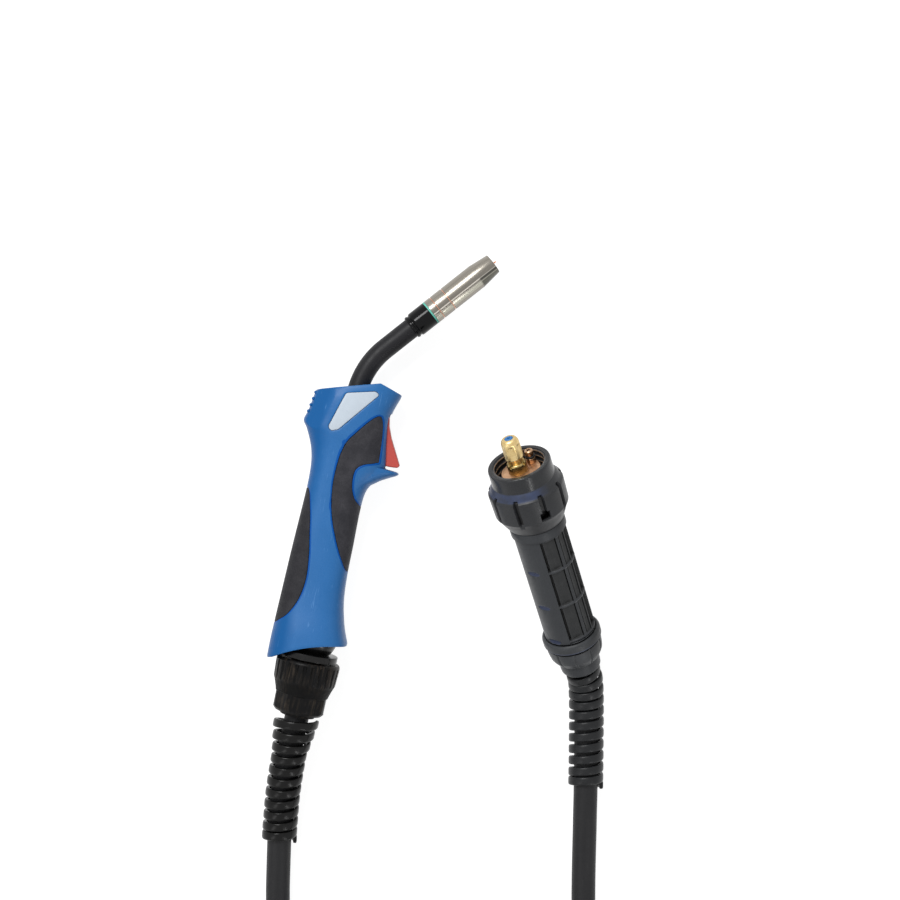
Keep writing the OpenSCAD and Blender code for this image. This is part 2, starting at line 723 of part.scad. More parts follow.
// ---- Swivel ----
module ball_stud() {
    color([0.14, 0.14, 0.14]) swivel_place() difference() {
        union() {
            intersection() {
                translate([0, 0, ball_y]) sphere(d = ball_d);
                translate([0, 0, collar_top - bite])
                    cylinder(d = ball_d + 2, h = ball_top - collar_top + bite);
            }
            translate([0, 0, collar_low]) cylinder(d = collar_d, h = collar_top - collar_low);
            translate([0, 0, stem_low]) cylinder(d = stem_d, h = collar_low - stem_low + bite);
        }
        translate([0, 0, stem_low - 1]) cylinder(d = lead_bore_d, h = 60);
    }
}
module swivel_cup() {
    r = cup_d / 2;
    color([0.16, 0.15, 0.15]) swivel_place() difference() {
        rotate_extrude() polygon([
            [stem_d / 2 + run_gap, cup_top], [r - 1, cup_top], [r, cup_top - 1.8],
            [r - 0.1, -3], [r - 0.7, -11.5], [r - 3.6, -20], [r - 4, cup_low + 2.4],
            [r - 6, cup_low], [12.2, cup_low], [12.2, cup_low - gland_len],
            [cable_d / 2, cup_low - gland_len], [cable_d / 2, stem_low - 1],
            [stem_d / 2 + run_gap, stem_low - 1]
        ]);
        for (i = [0:15])
            rotate([0, 0, 22.5 * i]) translate([r + 0.5, 0, -12.5])
                cylinder(d = 3, h = 13.5, $fn = 24);
        for (i = [0:7])
            rotate([0, 0, 45 * i]) translate([r - 4.8, -10, cup_low + 2])
                cube([10, 20, 11]);
    }
}
module cable_end() {
    color([0.12, 0.12, 0.12]) swivel_place() {
        translate([0, 0, cup_low - gland_len])
            cylinder(d = cable_d, h = stem_low - 1.4 - cup_low + gland_len);
        translate([0, 0, stem_low - 1.6]) cylinder(d = core_d, h = 18);
    }
}

// ---- Cable ----
module spring_along(p, flared) {
    rings = [for (k = [0:spring_rings * spring_turns]) spring_ring(p, k, flared)];
    last = len(rings) - 1;
    ring_solid(rings, mean_point(rings[0]), mean_point(rings[last]));
}
function mean_point(q) = (q[0] + q[1] + q[2] + q[3] + q[4] + q[5]) / 6;
module torch_spring() color([0.1, 0.1, 0.1]) spring_along(torch_route, true);
module plug_spring() color([0.1, 0.1, 0.1]) spring_along(plug_route, false);
module torch_cable() color([0.13, 0.13, 0.14]) route_tube(torch_route, cable_d, cable_sides);
module plug_cable() color([0.13, 0.13, 0.14]) route_tube(plug_route, cable_d, cable_sides);
module cable_coil() {
    count = coil_rings * (2 * coil_turns + 0.5);
    rings = [
        for (k = [0:count])
            let (g = coil_total * k / count)
            tube_ring(coil_point(g), coil_heading(g), cable_d / 2, coil_sides)
    ];
    color([0.13, 0.13, 0.14])
        ring_solid(rings, coil_point(0), coil_point(coil_total));
}

// ---- Connector ----
module plug_gland() {
    color([0.1, 0.1, 0.1]) plug_place() ring_tube(26.6, cable_d, gland_h);
}
module plug_cap() {
    r = plug_d / 2;
    color([0.18, 0.18, 0.19]) plug_place() translate([0, 0, gland_h]) difference() {
        rotate_extrude() polygon([
            [cable_d / 2, 0], [13.4, 0], [r - 1.8, 4.5], [r + 0.8, 9], [r + 2, 13],
            [r + 2.3, 18], [r + 2.7, 19], [r + 2.7, 24], [r + 1.6, 25.2], [r + 1.6, cap_len],
            [r - 3, cap_len], [r - 3, 8], [cable_d / 2, 8]
        ]);
        for (i = [0:9])
            rotate([0, 0, 36 * i]) translate([r + 1.2, -8, -1]) cube([8, 16, 12]);
    }
}
module plug_cable_end() {
    color([0.12, 0.12, 0.12]) plug_place() {
        cylinder(d = cable_d, h = 36);
        cylinder(d = plug_core_d, h = block_low);
    }
}
module plug_tube() {
    r = plug_d / 2;
    rotate_extrude() polygon([
        [r - 3.1, gland_h + 8.2], [r - 3.1, gland_h + cap_len + 0.4],
        [r, gland_h + cap_len + 0.4], [r, collar_z], [r + 1.2, collar_z + 0.6],
        [r + 1.2, shell_end], [block_d / 2, shell_end], [block_d / 2, block_low + 8],
        [r - plug_wall, block_low + 8], [r - plug_wall, gland_h + cap_len + 3],
        [r - 3.1 - plug_wall, gland_h + cap_len + 3], [r - 3.1 - plug_wall, gland_h + 8.2]
    ]);
}
bay_gap = 2.4;
module bay_windows(side) {
    r = plug_d / 2;
    for (i = [0:2])
        let (low = ring_z[i] + bay_gap / 2,
            high = i < 2 ? ring_z[i + 1] - bay_gap / 2 : collar_z - 1.6)
        for (a = side > 0 ? [-78, -52, -28, 8, 34, 60] : [250, 224, 198, 172, 146, 120])
            rotate([0, 0, a]) translate([r - 1.5, -2.6, low]) cube([4, 5.2, high - low]);
}
module plug_half(side) {
    difference() {
        plug_tube();
        translate([side > 0 ? -60 : 0, -30, 0]) cube([60, 60, 200]);
        if (side > 0) bay_windows(side);
        if (side < 0)
            for (z = ring_z)
                rotate([0, 0, 236]) translate([plug_d / 2 - 1, -4, z - 1.6]) cube([4, 8, 3.2]);
        for (z = plug_screw_z)
            translate([-30, 10.5, z]) rotate([0, 90, 0]) cylinder(d = screw_d, h = 60);
    }
    difference() {
        for (z = plug_screw_z)
            translate([side > 0 ? 0 : -10, 10.5, z]) rotate([0, 90, 0])
                cylinder(d = 6.4, h = 10);
        for (z = plug_screw_z)
            translate([-30, 10.5, z]) rotate([0, 90, 0]) cylinder(d = screw_d, h = 60);
    }
}
module plug_shell_left() color([0.19, 0.19, 0.2]) plug_place() plug_half(-1);
module plug_shell_right() color([0.19, 0.19, 0.2]) plug_place() plug_half(1);
module plug_screws() {
    color("dimgray") plug_place()
        for (z = plug_screw_z)
            translate([-12, 10.5, z]) rotate([0, 90, 0]) cylinder(d = screw_d, h = 24);
}
module plug_block() {
    color("peru") plug_place() difference() {
        union() {
            translate([0, 0, block_low]) cylinder(d = block_d, h = block_end - block_low);
            translate([0, 0, nut_low + lip_h + move_gap])
                cylinder(d = nut_bore_d - 1.4, h = flange_h);
        }
        translate([pin_x, 0, block_end - 12]) cylinder(d = 8, h = 20);
        translate([nipple_at[0], nipple_at[1], block_end - 6]) cylinder(d = 3.6, h = 20);
        for (p = signal_at)
            translate([p[0], p[1], block_end - 9]) cylinder(d = signal_d + 1.6, h = 20);
    }
}
module coupling_nut() {
    bore = nut_bore_d / 2;
    root = bore + 1;
    lobe = nut_d / 2;
    rim = nut_rim_d / 2;
    color([0.17, 0.17, 0.18]) plug_place() difference() {
        rotate_extrude() polygon(concat(
            [[block_d / 2 + run_gap, nut_low], [plug_d / 2 + 1.3, nut_low],
            [plug_d / 2 + 3.4, nut_low + 4], [lobe - 2.4, nut_low + 8],
            [lobe - 0.5, nut_low + 11], [lobe, nut_low + 28], [lobe - 0.8, nut_low + 31.5],
            [rim + 0.2, nut_low + 36], [rim, plug_len - 0.8], [rim - 0.8, plug_len],
            [root, plug_len]],
            [for (i = [0:thread_count - 1]) let (z = plug_len - 1 - thread_pitch * i)
                each [[bore, z], [bore, z - 1.4], [root, z - 1.8], [root, z - 2.2]]],
            [[bore, plug_len - 1 - thread_pitch * thread_count], [bore, nut_low + lip_h],
            [block_d / 2 + run_gap, nut_low + lip_h]]
        ));
        for (i = [0:nut_lobes - 1])
            rotate([0, 0, 360 / nut_lobes * (i + 0.5) - 90])
                translate([lobe + 2.2, 0, nut_low - 1]) cylinder(d = 8.4, h = 32);
        rotate([0, 0, 360 / nut_lobes - 90]) translate([lobe - 3.6, -2.6, nut_low + 12.5])
            cube([6, 5.2, 4.6]);
    }
}
module main_pin() {
    color("gold") plug_place() translate([pin_x, 0, block_end]) difference() {
        union() {
            cylinder(d = main_pin_d, h = 6.2);
            translate([0, 0, 6.2]) cylinder(d1 = main_pin_d, d2 = main_pin_d - 1.6, h = 0.8);
            translate([0, 0, -11]) cylinder(d = 8, h = 12);
        }
        translate([0, 0, -12]) cylinder(d = 5.6, h = 30);
        for (a = [45:90:315])
            rotate([0, 0, a]) translate([main_pin_d / 2 - 0.9, 0, 5.4]) cylinder(d = 2.2, h = 4);
    }
}
module liner_nut() {
    h = plug_len + pin_reach - block_end - 7;
    r = main_pin_d / 2 - 0.4;
    color("gold") plug_place() translate([pin_x, 0, block_end + 7])
        rotate_extrude() polygon([
            [2.8, 0], [r - 1.2, 0], [r - 1.2, 2], [r, 3.2], [r, h - 1.6], [r - 1.5, h], [2.8, h]
        ]);
}
module plug_liner() {
    color("dodgerblue") plug_place() translate([pin_x, 0, block_end - 8])
        ring_tube(5.6, 1.8, plug_len + pin_reach - block_end + 8.2);
}
module gas_nipple() {
    r = gas_nipple_d / 2;
    color("peru") plug_place() translate([nipple_at[0], nipple_at[1], block_end])
        rotate_extrude() polygon([
            [1.1, -5], [1.8, -5], [1.8, 0], [r + 0.3, 0], [r + 0.3, 3.4], [r - 0.9, 3.4],
            [r - 0.9, 5.6], [r, 5.6], [r, 8.6], [r - 0.5, 9.2], [1.1, 9.2]
        ]);
}
module gas_ring() {
    r = gas_nipple_d / 2;
    color([0.1, 0.1, 0.1]) plug_place()
        translate([nipple_at[0], nipple_at[1], block_end + 4.5])
        rotate_extrude() translate([r - 0.1, 0]) circle(d = 1.6, $fn = 24);
}
module signal_bushes() {
    color([0.25, 0.25, 0.25]) plug_place()
        for (p = signal_at)
            translate([p[0], p[1], block_end - 9]) difference() {
                cylinder(d = signal_d + 1.6, h = 10);
                translate([0, 0, 2]) cylinder(d = signal_d + 2 * run_gap, h = 20);
            }
}
module signal_pin(i) {
    color("goldenrod") plug_place()
        translate([signal_at[i][0], signal_at[i][1], block_end - 7 + signal_travel + 0.3])
        cylinder(d = signal_d, h = 12 - signal_travel - 0.3);
}
module signal_pin_a() signal_pin(0);
module signal_pin_b() signal_pin(1);

// Least gap of each wound tube to itself, a turn or a layer apart
coil_points = [for (g = [0:15:coil_total]) coil_point(g)];
turn_gaps = [for (i = [0:len(coil_points) - 1], j = [i + 18:1:len(coil_points) - 1])
    norm(coil_points[i] - coil_points[j]) - cable_d];
echo(coil_least_gap = min(turn_gaps));
echo(spring_least_gap = spring_pitch - spring_band);

handle_left();
handle_right();
front_grip_left();
front_grip_right();
rear_grip_left();
rear_grip_right();
side_plate_left();
side_plate_right();
handle_screws();
trigger_frame();
trigger_pin();
trigger();
microswitch();
switch_button();
switch_leads();
power_lead();
torch_block();
neck_sleeve();
neck_tube();
neck_liner();
insulator();
seal_ring();
nozzle_spring();
tip_holder();
contact_tip();
gas_nozzle();
welding_wire();
ball_stud();
swivel_cup();
cable_end();
torch_spring();
torch_cable();
cable_coil();
plug_cable();
plug_spring();
plug_gland();
plug_cap();
plug_cable_end();
plug_shell_left();
plug_shell_right();
plug_screws();
plug_block();
coupling_nut();
main_pin();
liner_nut();
plug_liner();
gas_nipple();
gas_ring();
signal_bushes();
signal_pin_a();
signal_pin_b();
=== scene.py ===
import math
from functools import reduce

import bpy
import numpy as np
from mathutils import Matrix, Vector
from mathutils.geometry import delaunay_2d_cdt


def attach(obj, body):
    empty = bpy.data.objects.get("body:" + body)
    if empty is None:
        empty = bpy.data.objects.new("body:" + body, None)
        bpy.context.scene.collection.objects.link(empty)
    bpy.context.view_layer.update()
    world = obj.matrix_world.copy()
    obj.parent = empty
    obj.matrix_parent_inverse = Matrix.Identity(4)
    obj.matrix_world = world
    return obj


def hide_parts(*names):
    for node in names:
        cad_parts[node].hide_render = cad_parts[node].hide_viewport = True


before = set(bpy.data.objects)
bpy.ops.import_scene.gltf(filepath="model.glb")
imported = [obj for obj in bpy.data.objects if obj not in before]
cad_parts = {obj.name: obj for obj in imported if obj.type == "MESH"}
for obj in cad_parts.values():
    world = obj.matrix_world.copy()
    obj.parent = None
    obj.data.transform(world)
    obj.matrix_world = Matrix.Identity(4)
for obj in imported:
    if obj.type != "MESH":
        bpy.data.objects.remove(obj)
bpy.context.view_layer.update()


# ---------------------------------------------------------------- places, in millimetres
def shift(x, y, z):
    return Matrix.Translation((x, y, z))


def turn(angle, axis):
    return Matrix.Rotation(math.radians(angle), 4, axis)


WORLD = Matrix.Identity(4)
MM = 0.001
NECK_X, NECK_Y, NECK_D, NECK_R, NECK_BEND = 0.5, 191.6, 14.4, 56, 39.7
NECK_STRAIGHT, NOZZLE_D, NOZZLE_LEN = 23.4, 18, 55
SWIVEL_X = 6.5
TORCH = shift(-59.3, -160.2, 22.5) @ turn(-12, "Z") @ shift(-SWIVEL_X, 36.0, 0)
SWIVEL = TORCH @ shift(SWIVEL_X, 0, 0) @ turn(-90, "X")
BEND_END = (
    NECK_X + NECK_R * (1 - math.cos(math.radians(NECK_BEND))),
    NECK_Y + NECK_R * math.sin(math.radians(NECK_BEND)),
)
HEAD = TORCH @ shift(*BEND_END, 0) @ turn(-NECK_BEND, "Z") @ turn(-90, "X")
PLUG = shift(139.3, -125, 25) @ turn(18.3, "Z") @ turn(29 - 90, "X")
PIN_Z = 165.5
PIN_PLACE = PLUG @ shift(-1.6, 0, PIN_Z)
NIPPLE_PLACE = PLUG @ shift(8.5, 5.5, PIN_Z)
RING_Z, COLLAR_Z = (34.3, 63.8, 92.5), 118.5


# ---------------------------------------------------------------- camera
def link(item):
    bpy.context.scene.collection.objects.link(item)
    return item


def make_camera():
    half_width = 0.2625  # of the view, per unit of distance
    data = bpy.data.cameras.new("view")
    data.sensor_width = 36
    data.lens = 18 / half_width
    data.clip_start, data.clip_end = 0.05, 20
    camera = link(bpy.data.objects.new("view", data))
    camera.location = (0.0477, 0.0252, 1.2226)
    bpy.context.scene.camera = camera
    bpy.context.scene.view_settings.view_transform = "Standard"


make_camera()


# ---------------------------------------------------------------- materials
def srgb(r, g, b):
    """The linear colour that nodes take, from screen values of 0 to 255."""
    def one(c):
        c = c / 255
        return c / 12.92 if c <= 0.04045 else ((c + 0.055) / 1.055) ** 2.4

    return (one(r), one(g), one(b), 1)


def dimmed(colour, share):
    return tuple(c * share for c in srgb(*colour)[:3]) + (1,)


def put(tree, value, target):
    if hasattr(value, "is_output"):
        tree.links.new(value, target)
    else:
        target.default_value = value


def add_node(tree, kind, inputs, output=0, **values):
    """A node with its inputs, each a number, a colour or another node's output."""
    node = tree.nodes.new(kind)
    for key, value in values.items():
        setattr(node, key, value)
    for key, value in inputs.items():
        put(tree, value, node.inputs[key])
    return node.outputs[output]


class Finish:
    """A node material. Its coordinates are millimetres in a place's own axes."""

    def __init__(self, name, place=WORLD):
        self.mat = bpy.data.materials.new(name)
        self.mat.use_nodes = True
        self.tree = self.mat.node_tree
        self.tree.nodes.clear()
        surface = self.tree.nodes.new("ShaderNodeOutputMaterial").inputs[0]
        self.bsdf = self.tree.nodes.new("ShaderNodeBsdfPrincipled")
        self.tree.links.new(self.bsdf.outputs[0], surface)
        spot, spin, _ = place.decompose()
        self.coords = self.add("ShaderNodeMapping", {
            "Vector": self.add("ShaderNodeTexCoord", {}, "Object"), "Location": spot * MM,
            "Rotation": spin.to_euler(), "Scale": (MM, MM, MM)}, vector_type="TEXTURE")

    def add(self, kind, inputs, output=0, **values):
        return add_node(self.tree, kind, inputs, output, **values)

    def stretched(self, scale):
        return self.add("ShaderNodeVectorMath", {0: self.coords, 1: scale}, operation="MULTIPLY")

    def noise(self, size, detail=3, rough=0.55, stretch=None):
        where = self.stretched(stretch) if stretch else self.coords
        return self.add("ShaderNodeTexNoise", {"Scale": 1 / size, "Detail": detail,
                                               "Roughness": rough, "Vector": where}, "Fac")

    def ramp(self, value, low, high, out_low=0.0, out_high=1.0):
        return self.add("ShaderNodeMapRange", {
            "Value": value, "From Min": low, "From Max": high, "To Min": out_low,
            "To Max": out_high}, "Result")

    def fall(self, value, low, high, start=1.0):
        return self.ramp(value, low, high, start, 0.0)

    def mix(self, share, a, b):
        """Two colours blended. Three numbers are screen values, four are linear."""
        a, b = (srgb(*c) if isinstance(c, tuple) and len(c) == 3 else c for c in (a, b))
        return self.add("ShaderNodeMix", {"Factor": share, "A": a, "B": b}, "Result",
                        data_type="RGBA")

    def math(self, operation, a, b=0.0):
        return self.add("ShaderNodeMath", {0: a, 1: b}, operation=operation)

    def times(self, *values):
        return reduce(lambda a, b: self.math("MULTIPLY", a, b), values)

    def most(self, values):
        return reduce(lambda a, b: self.math("MAXIMUM", a, b), values)

    def plus(self, a, b, share):
        return self.math("ADD", a, self.times(b, share))

    def gap(self, value, at=0.0):
        return self.math("ABSOLUTE", self.math("SUBTRACT", value, at))

    def between(self, value, low, low_end, high, high_end):
        return self.times(self.ramp(value, low, low_end), self.fall(value, high, high_end))

    def axis(self, name):
        return self.add("ShaderNodeSeparateXYZ", {0: self.coords}, name)

    def radius(self):
        """Distance from the place's Z."""
        return self.add("ShaderNodeVectorMath", {0: self.stretched((1, 1, 0))}, "Value",
                        operation="LENGTH")

    def cloud(self, size, detail=3, low=0.0, high=1.0):
        return self.ramp(self.noise(size, detail), 0.3, 0.7, low, high)

    def moulded(self, size, dark, light, dust=(84, 86, 92), share=0.1):
        """Cloudy colour with fine specks of dust."""
        speck = self.times(self.ramp(self.noise(0.9, 2), 0.35, 0.65), share)
        return self.mix(speck, self.mix(self.cloud(size), dark, light), dust)

    def scratches(self, share, low=0.62, spot=0.52):
        lines = self.ramp(self.noise(1.6, 4, 0.6, (1.5, 0.1, 0.8)), low, 0.68)
        return self.times(lines, self.ramp(self.noise(13, 2), spot, spot + 0.12), share)

    def done(self, colour, rough, *bumps, spec=0.25, metallic=0.0, **other):
        """Sets the surface. Each bump is a height and its depth in millimetres."""
        values = {"Base Color": colour, "Roughness": rough, "Specular IOR Level": spec,
                  "Metallic": metallic, **other}
        for height, depth in bumps:
            layer = {"Strength": 1, "Distance": depth * MM, "Height": height}
            if "Normal" in values:
                layer["Normal"] = values["Normal"]
            values["Normal"] = self.add("ShaderNodeBump", layer)
        for name, value in values.items():
            put(self.tree, value, self.bsdf.inputs[name])
        return self.mat


def plastic(name, base, worn, rough, grain=0.5, depth=0.02, spec=0.25, share=0.25, place=WORLD):
    """Moulded plastic: cloudy colour, fine grain, a few scratches that are lighter and duller."""
    f = Finish(name, place)
    scratch = f.scratches(share)
    tone = f.mix(scratch, f.moulded(22, dimmed(base, 0.88), base, worn), worn)
    return f.done(tone, f.plus(f.cloud(5, 4, rough - 0.05, rough + 0.05), scratch, 0.2),
                  (f.noise(grain, 2), depth), (f.noise(7, 2), 0.06), spec=spec)


def metal(name, base, tint, rough, place, lines=0.35, depth=0.012, stain=None):
    """Turned metal: fine rings round the piece's own axis, tarnish patches and handling marks."""
    f = Finish(name, place)
    rings = f.noise(lines, 2, 0.6, (0.03, 0.03, 1.0))
    tone = f.mix(f.ramp(f.noise(3.2, 4, 0.6), 0.35, 0.7), base, tint)
    tone = f.mix(f.ramp(rings, 0.35, 0.65, 0.0, 0.35), tone, tint)
    if stain:
        tone = f.mix(f.ramp(f.noise(1.4, 4, 0.7), 0.58, 0.72, 0.0, 0.6), tone, stain)
    return f.done(tone, f.cloud(1.8, 4, rough - 0.06, rough + 0.1), (rings, depth),
                  (f.noise(0.8), depth * 0.8), spec=0.5, metallic=1.0)


def rubber(name, base, light, rough):
    """Soft rubber: pebbled grain with lighter, dusty high spots."""
    f = Finish(name)
    grain, depth = 0.9, 0.09
    pebble = f.add("ShaderNodeTexVoronoi", {"Scale": 1 / grain, "Vector": f.coords}, "Distance",
                   feature="SMOOTH_F1")
    tone = f.mix(f.times(f.ramp(f.noise(9, 4, 0.65), 0.38, 0.72), 0.55), base, light)
    tone = f.mix(f.ramp(pebble, 0.25, 0.75, 0.0, 0.35), tone, dimmed(base, 0.55))
    return f.done(tone, f.cloud(3, 3, rough - 0.06, rough + 0.06), (pebble, -depth),
                  (f.noise(grain * 0.6, 2), depth * 0.6), spec=0.2)


def blue_plastic():
    """The handle's blue: painted shade deepens it along its back edge and towards its lower end,
    with fine scratches where the hand holds it.
    """
    f = Finish("blue_plastic", TORCH)
    tone = f.moulded(22, (38, 104, 167), (46, 110, 174), (84, 140, 200), 0.08)
    # Painted shade: a deeper, more saturated blue along the back edge and towards the lower end.
    back_shade = f.math("ADD", f.axis("X"), f.cloud(26, 2, -2.0, 2.0))
    back_shade = f.math("SUBTRACT", back_shade, f.fall(f.axis("Y"), 10, 110, 5.0))
    tone = f.mix(f.ramp(back_shade, -9, -18, 0.0, 0.9), tone, (0, 88, 153))
    scratch = f.scratches(0.5, 0.6, 0.5)
    return f.done(f.mix(scratch, tone, (96, 150, 208)),
                  f.plus(f.cloud(5, 4, 0.35, 0.45), scratch, 0.2),
                  (f.noise(0.7, 2), 0.015), (f.noise(9, 2), 0.05), spec=0.26)


def swivel_plastic():
    """The swivel cup's black plastic: brownish draw streaks along it, and painted shade in its
    flutes and, darkest, round its waist.
    """
    f = Finish("swivel_plastic", SWIVEL)
    height = f.axis("Z")
    streak = f.ramp(f.noise(1.7, 3, 0.6, (1.0, 1.0, 0.1)), 0.45, 0.62)
    side = f.ramp(f.gap(f.axis("X")), 3, 13, 0.2, 0.7)
    tone = f.mix(f.times(streak, f.ramp(f.noise(8), 0.4, 0.6), side), (14, 14, 15), (74, 65, 56))
    # Painted shade: the flutes are darkened nearly to black.
    flute = f.times(f.fall(f.radius(), 21.3, 21.8), f.ramp(height, -11.5, -10),
                    f.fall(height, 0.0, 1.2, 0.85))
    tone = f.mix(flute, tone, (4, 4, 4))
    # Painted shade round the waist, which is also made duller.
    waist_shade = f.between(height, -10, -14, -20.4, -20.8)
    return f.done(f.mix(f.times(waist_shade, 0.75), tone, (3, 3, 3)),
                  f.plus(f.cloud(2.5, 4, 0.26, 0.4), waist_shade, 0.25), (f.noise(0.5), 0.015),
                  (f.noise(3.5, 2, 0.5, (1.0, 1.0, 0.3)), 0.05), spec=0.1)


def nut_plastic():
    """The nut's black plastic: a painted bluish sheen on the left of its cone, light
    bronze-coloured lines on its thread's crests, and painted shade in its window and its flutes.
    """
    f = Finish("nut_plastic", PLUG)
    height, flat = f.axis("Z"), f.radius()
    tone = f.moulded(14, (42, 43, 45), (48, 49, 51))
    # Painted sheen: a bluish band on the cone, strongest on its left.
    painted_sheen = f.times(f.between(height, 154.7, 155.3, 159.3, 160.2), f.fall(f.axis("X"), 3, 13),
                    f.cloud(5, 3, 0.35, 0.75))
    crest = f.times(f.fall(flat, 16.95, 17.1), f.ramp(height, 149, 150),
                    f.ramp(f.noise(2), 0.3, 0.6, 0.3, 0.8))
    # Painted shade: the window and the flutes between the lobes are darkened.
    window = f.times(f.fall(flat, 22.4, 23.6), f.between(height, 137, 137.4, 143.8, 144.2))
    flute = f.times(f.fall(flat, 22.8, 24.2), f.between(height, 138, 139, 153.8, 154.2), 0.7)
    for share, colour in ((painted_sheen, (60, 72, 104)), (crest, (162, 132, 104)), (window, (3, 3, 3)),
                          (flute, (12, 12, 13))):
        tone = f.mix(share, tone, colour)
    rough = f.plus(f.cloud(5, 4, 0.32, 0.42), f.ramp(height, 159.6, 160.6, 0.0, 0.14), -1.0)
    return f.done(tone, rough, (f.noise(0.45, 2), 0.02), (f.noise(7, 2), 0.05))


def barrel_plastic():
    """The connector's black plastic: its sunk panels are duller than its skin and darker with
    painted shade; painted shade on its right side and in its deep slots, and a painted bluish sheen
    by its rings on the left.
    """
    f = Finish("barrel_plastic", PLUG)
    height, flat, side = f.axis("Z"), f.radius(), f.axis("X")
    bays = f.between(height, 32.5, 33, 117.2, 117.6)
    sunk = f.times(f.fall(flat, 17.1, 17.6), bays)
    # Painted sheen: a bluish band by each ring, on the left side only.
    painted_sheen = f.most([f.fall(f.gap(height, z), 1.4, 2.0) for z in RING_Z])
    painted_sheen = f.times(painted_sheen, f.ramp(side, -8.6, -9.6), f.fall(flat, 17.35, 17.75, 0.8))
    tone = f.moulded(18, (50, 52, 55), (57, 59, 62))
    # Painted shade on the right side, in the sunk panels and in the deep slots.
    for share, colour in ((f.ramp(side, 8, 16, 0.0, 0.4), (20, 21, 22)),
                          (f.times(sunk, 0.8), (27, 28, 28)), (painted_sheen, (58, 66, 92)),
                          (f.times(f.fall(flat, 15.9, 16.5), bays), (8, 8, 8))):
        tone = f.mix(share, tone, colour)
    return f.done(tone, f.plus(f.cloud(5, 4, 0.36, 0.46), sunk, 0.12),
                  (f.noise(0.45, 2), 0.03), (f.noise(7, 2), 0.06))


def cap_plastic():
    """The cap's black plastic: painted shade under its flange and on its right side, and a painted
    bluish sheen on the flange's lip.
    """
    f = Finish("cap_plastic", PLUG)
    height = f.axis("Z")
    tone = f.moulded(12, (54, 56, 58), (66, 68, 71))
    # Painted sheen on the flange's lip, and painted shade in the groove under it and on the right
    # side.
    for share, colour in ((f.fall(f.gap(height, 25.7), 0.4, 0.8, 0.7), (74, 80, 100)),
                          (f.fall(f.gap(height, 24.3), 0.7, 1.0), (4, 4, 5)),
                          (f.ramp(f.axis("X"), 6, 14, 0.0, 0.6), (22, 23, 24))):
        tone = f.mix(share, tone, colour)
    return f.done(tone, f.cloud(5, 4, 0.36, 0.46), (f.noise(0.45, 2), 0.02),
                  (f.noise(7, 2), 0.06))


def nozzle_metal():
    """Plated nozzle: painted reflections as lengthwise streaks, a dark middle band between bright
    and dark lines, and a dark facet with a light line by its mouth; warm lines in its two grooves.
    """
    f = Finish("nickel_nozzle", HEAD)
    height, side = f.axis("Z"), f.axis("X")
    # Painted reflections: lengthwise streaks, then bands and lines across the nozzle's width.
    fine = f.ramp(f.noise(0.6, 2, 0.5, (1.0, 1.0, 0.02)), 0.35, 0.65)
    tone = f.mix(f.times(fine, 0.5), (152, 147, 138), (116, 111, 103))
    middle = f.times(f.ramp(side, -2.4, -1.8), f.fall(side, 2.4, 2.7, 0.6))
    tone = f.mix(middle, tone, (112, 108, 101))
    for at, wide, colour in ((2.9, 0.35, (240, 233, 222)), (3.9, 0.3, (98, 96, 90)),
                             (6.0, 1.5, (186, 184, 170)), (8.8, 0.5, (112, 106, 98))):
        tone = f.mix(f.fall(f.gap(side, at), wide * 0.5, wide, 0.75), tone, colour)
    # Painted reflection: a dark facet on the taper by the mouth, with a lighter line along it.
    dark_reflection = f.times(f.ramp(height, 81.2, 82.4), f.ramp(side, 2.4, 3.2),
                   f.ramp(f.gap(side, 5.0), 0.2, 0.4, 0.35, 1.0), 0.8)
    tone = f.mix(dark_reflection, tone, (62, 62, 58))
    grooves = f.most([f.fall(f.gap(height, at), 0.15, 0.4) for at in (46.55, 56.3)])
    return f.done(f.mix(grooves, tone, (206, 160, 138)), f.cloud(2.2, 4, 0.25, 0.3),
                  (f.noise(0.3, 2, 0.6, (0.03, 0.03, 1.0)), 0.0004), spec=0.5, metallic=1.0)


BLUE = blue_plastic()
# Painted shade: a darker, more saturated blue on the narrow rims round the grips.
BLUE_EDGE_SHADE = plastic("blue_plastic_edge_shade", (0, 84, 168), (10, 106, 186), 0.4, 0.7, 0.02, 0.2, 0.2,
                    TORCH)
GRIP = rubber("grip_rubber", (46, 46, 51), (74, 73, 78), 0.64)
# A darker copy of the grip rubber for the rear grip: painted shade.
GRIP_SHADED_REAR = rubber("grip_rubber_rear_shaded", (34, 34, 38), (62, 61, 65), 0.6)
PALE = plastic("pale_plastic", (200, 212, 224), (222, 228, 235), 0.4, 1.2, 0.012, 0.25, 0.4, TORCH)
RED = plastic("red_plastic", (192, 66, 56), (214, 120, 108), 0.38, 0.6, 0.02, 0.5, 0.4, TORCH)
BLACK = plastic("black_plastic", (34, 34, 36), (66, 66, 68), 0.5, 0.6, 0.03)
SLEEVE = plastic("neck_sleeve", (27, 27, 30), (62, 62, 64), 0.46, 0.5, 0.035, 0.2)
GLOSS = plastic("insulator_plastic", (8, 8, 10), (40, 40, 44), 0.1, 0.9, 0.003, 0.16)
TEAL = plastic("teal_plastic", (110, 205, 186), (170, 225, 212), 0.4, 0.5, 0.01)
SWIVEL_BLACK = swivel_plastic()
SWIVEL_GLOSS = plastic("swivel_gloss", (14, 14, 15), (60, 56, 52), 0.22, 0.9, 0.012, 0.25, 0.4,
                       SWIVEL)
PLUG_BLACK = plastic("plug_plastic", (54, 56, 59), (84, 86, 90), 0.4, 0.45, 0.03, 0.25, 0.3, PLUG)
NUT_BLACK, BARREL_BLACK, CAP_BLACK = nut_plastic(), barrel_plastic(), cap_plastic()
SPRING = plastic("spring_wrap", (24, 25, 27), (62, 64, 66), 0.36, 0.7, 0.02, 0.25)
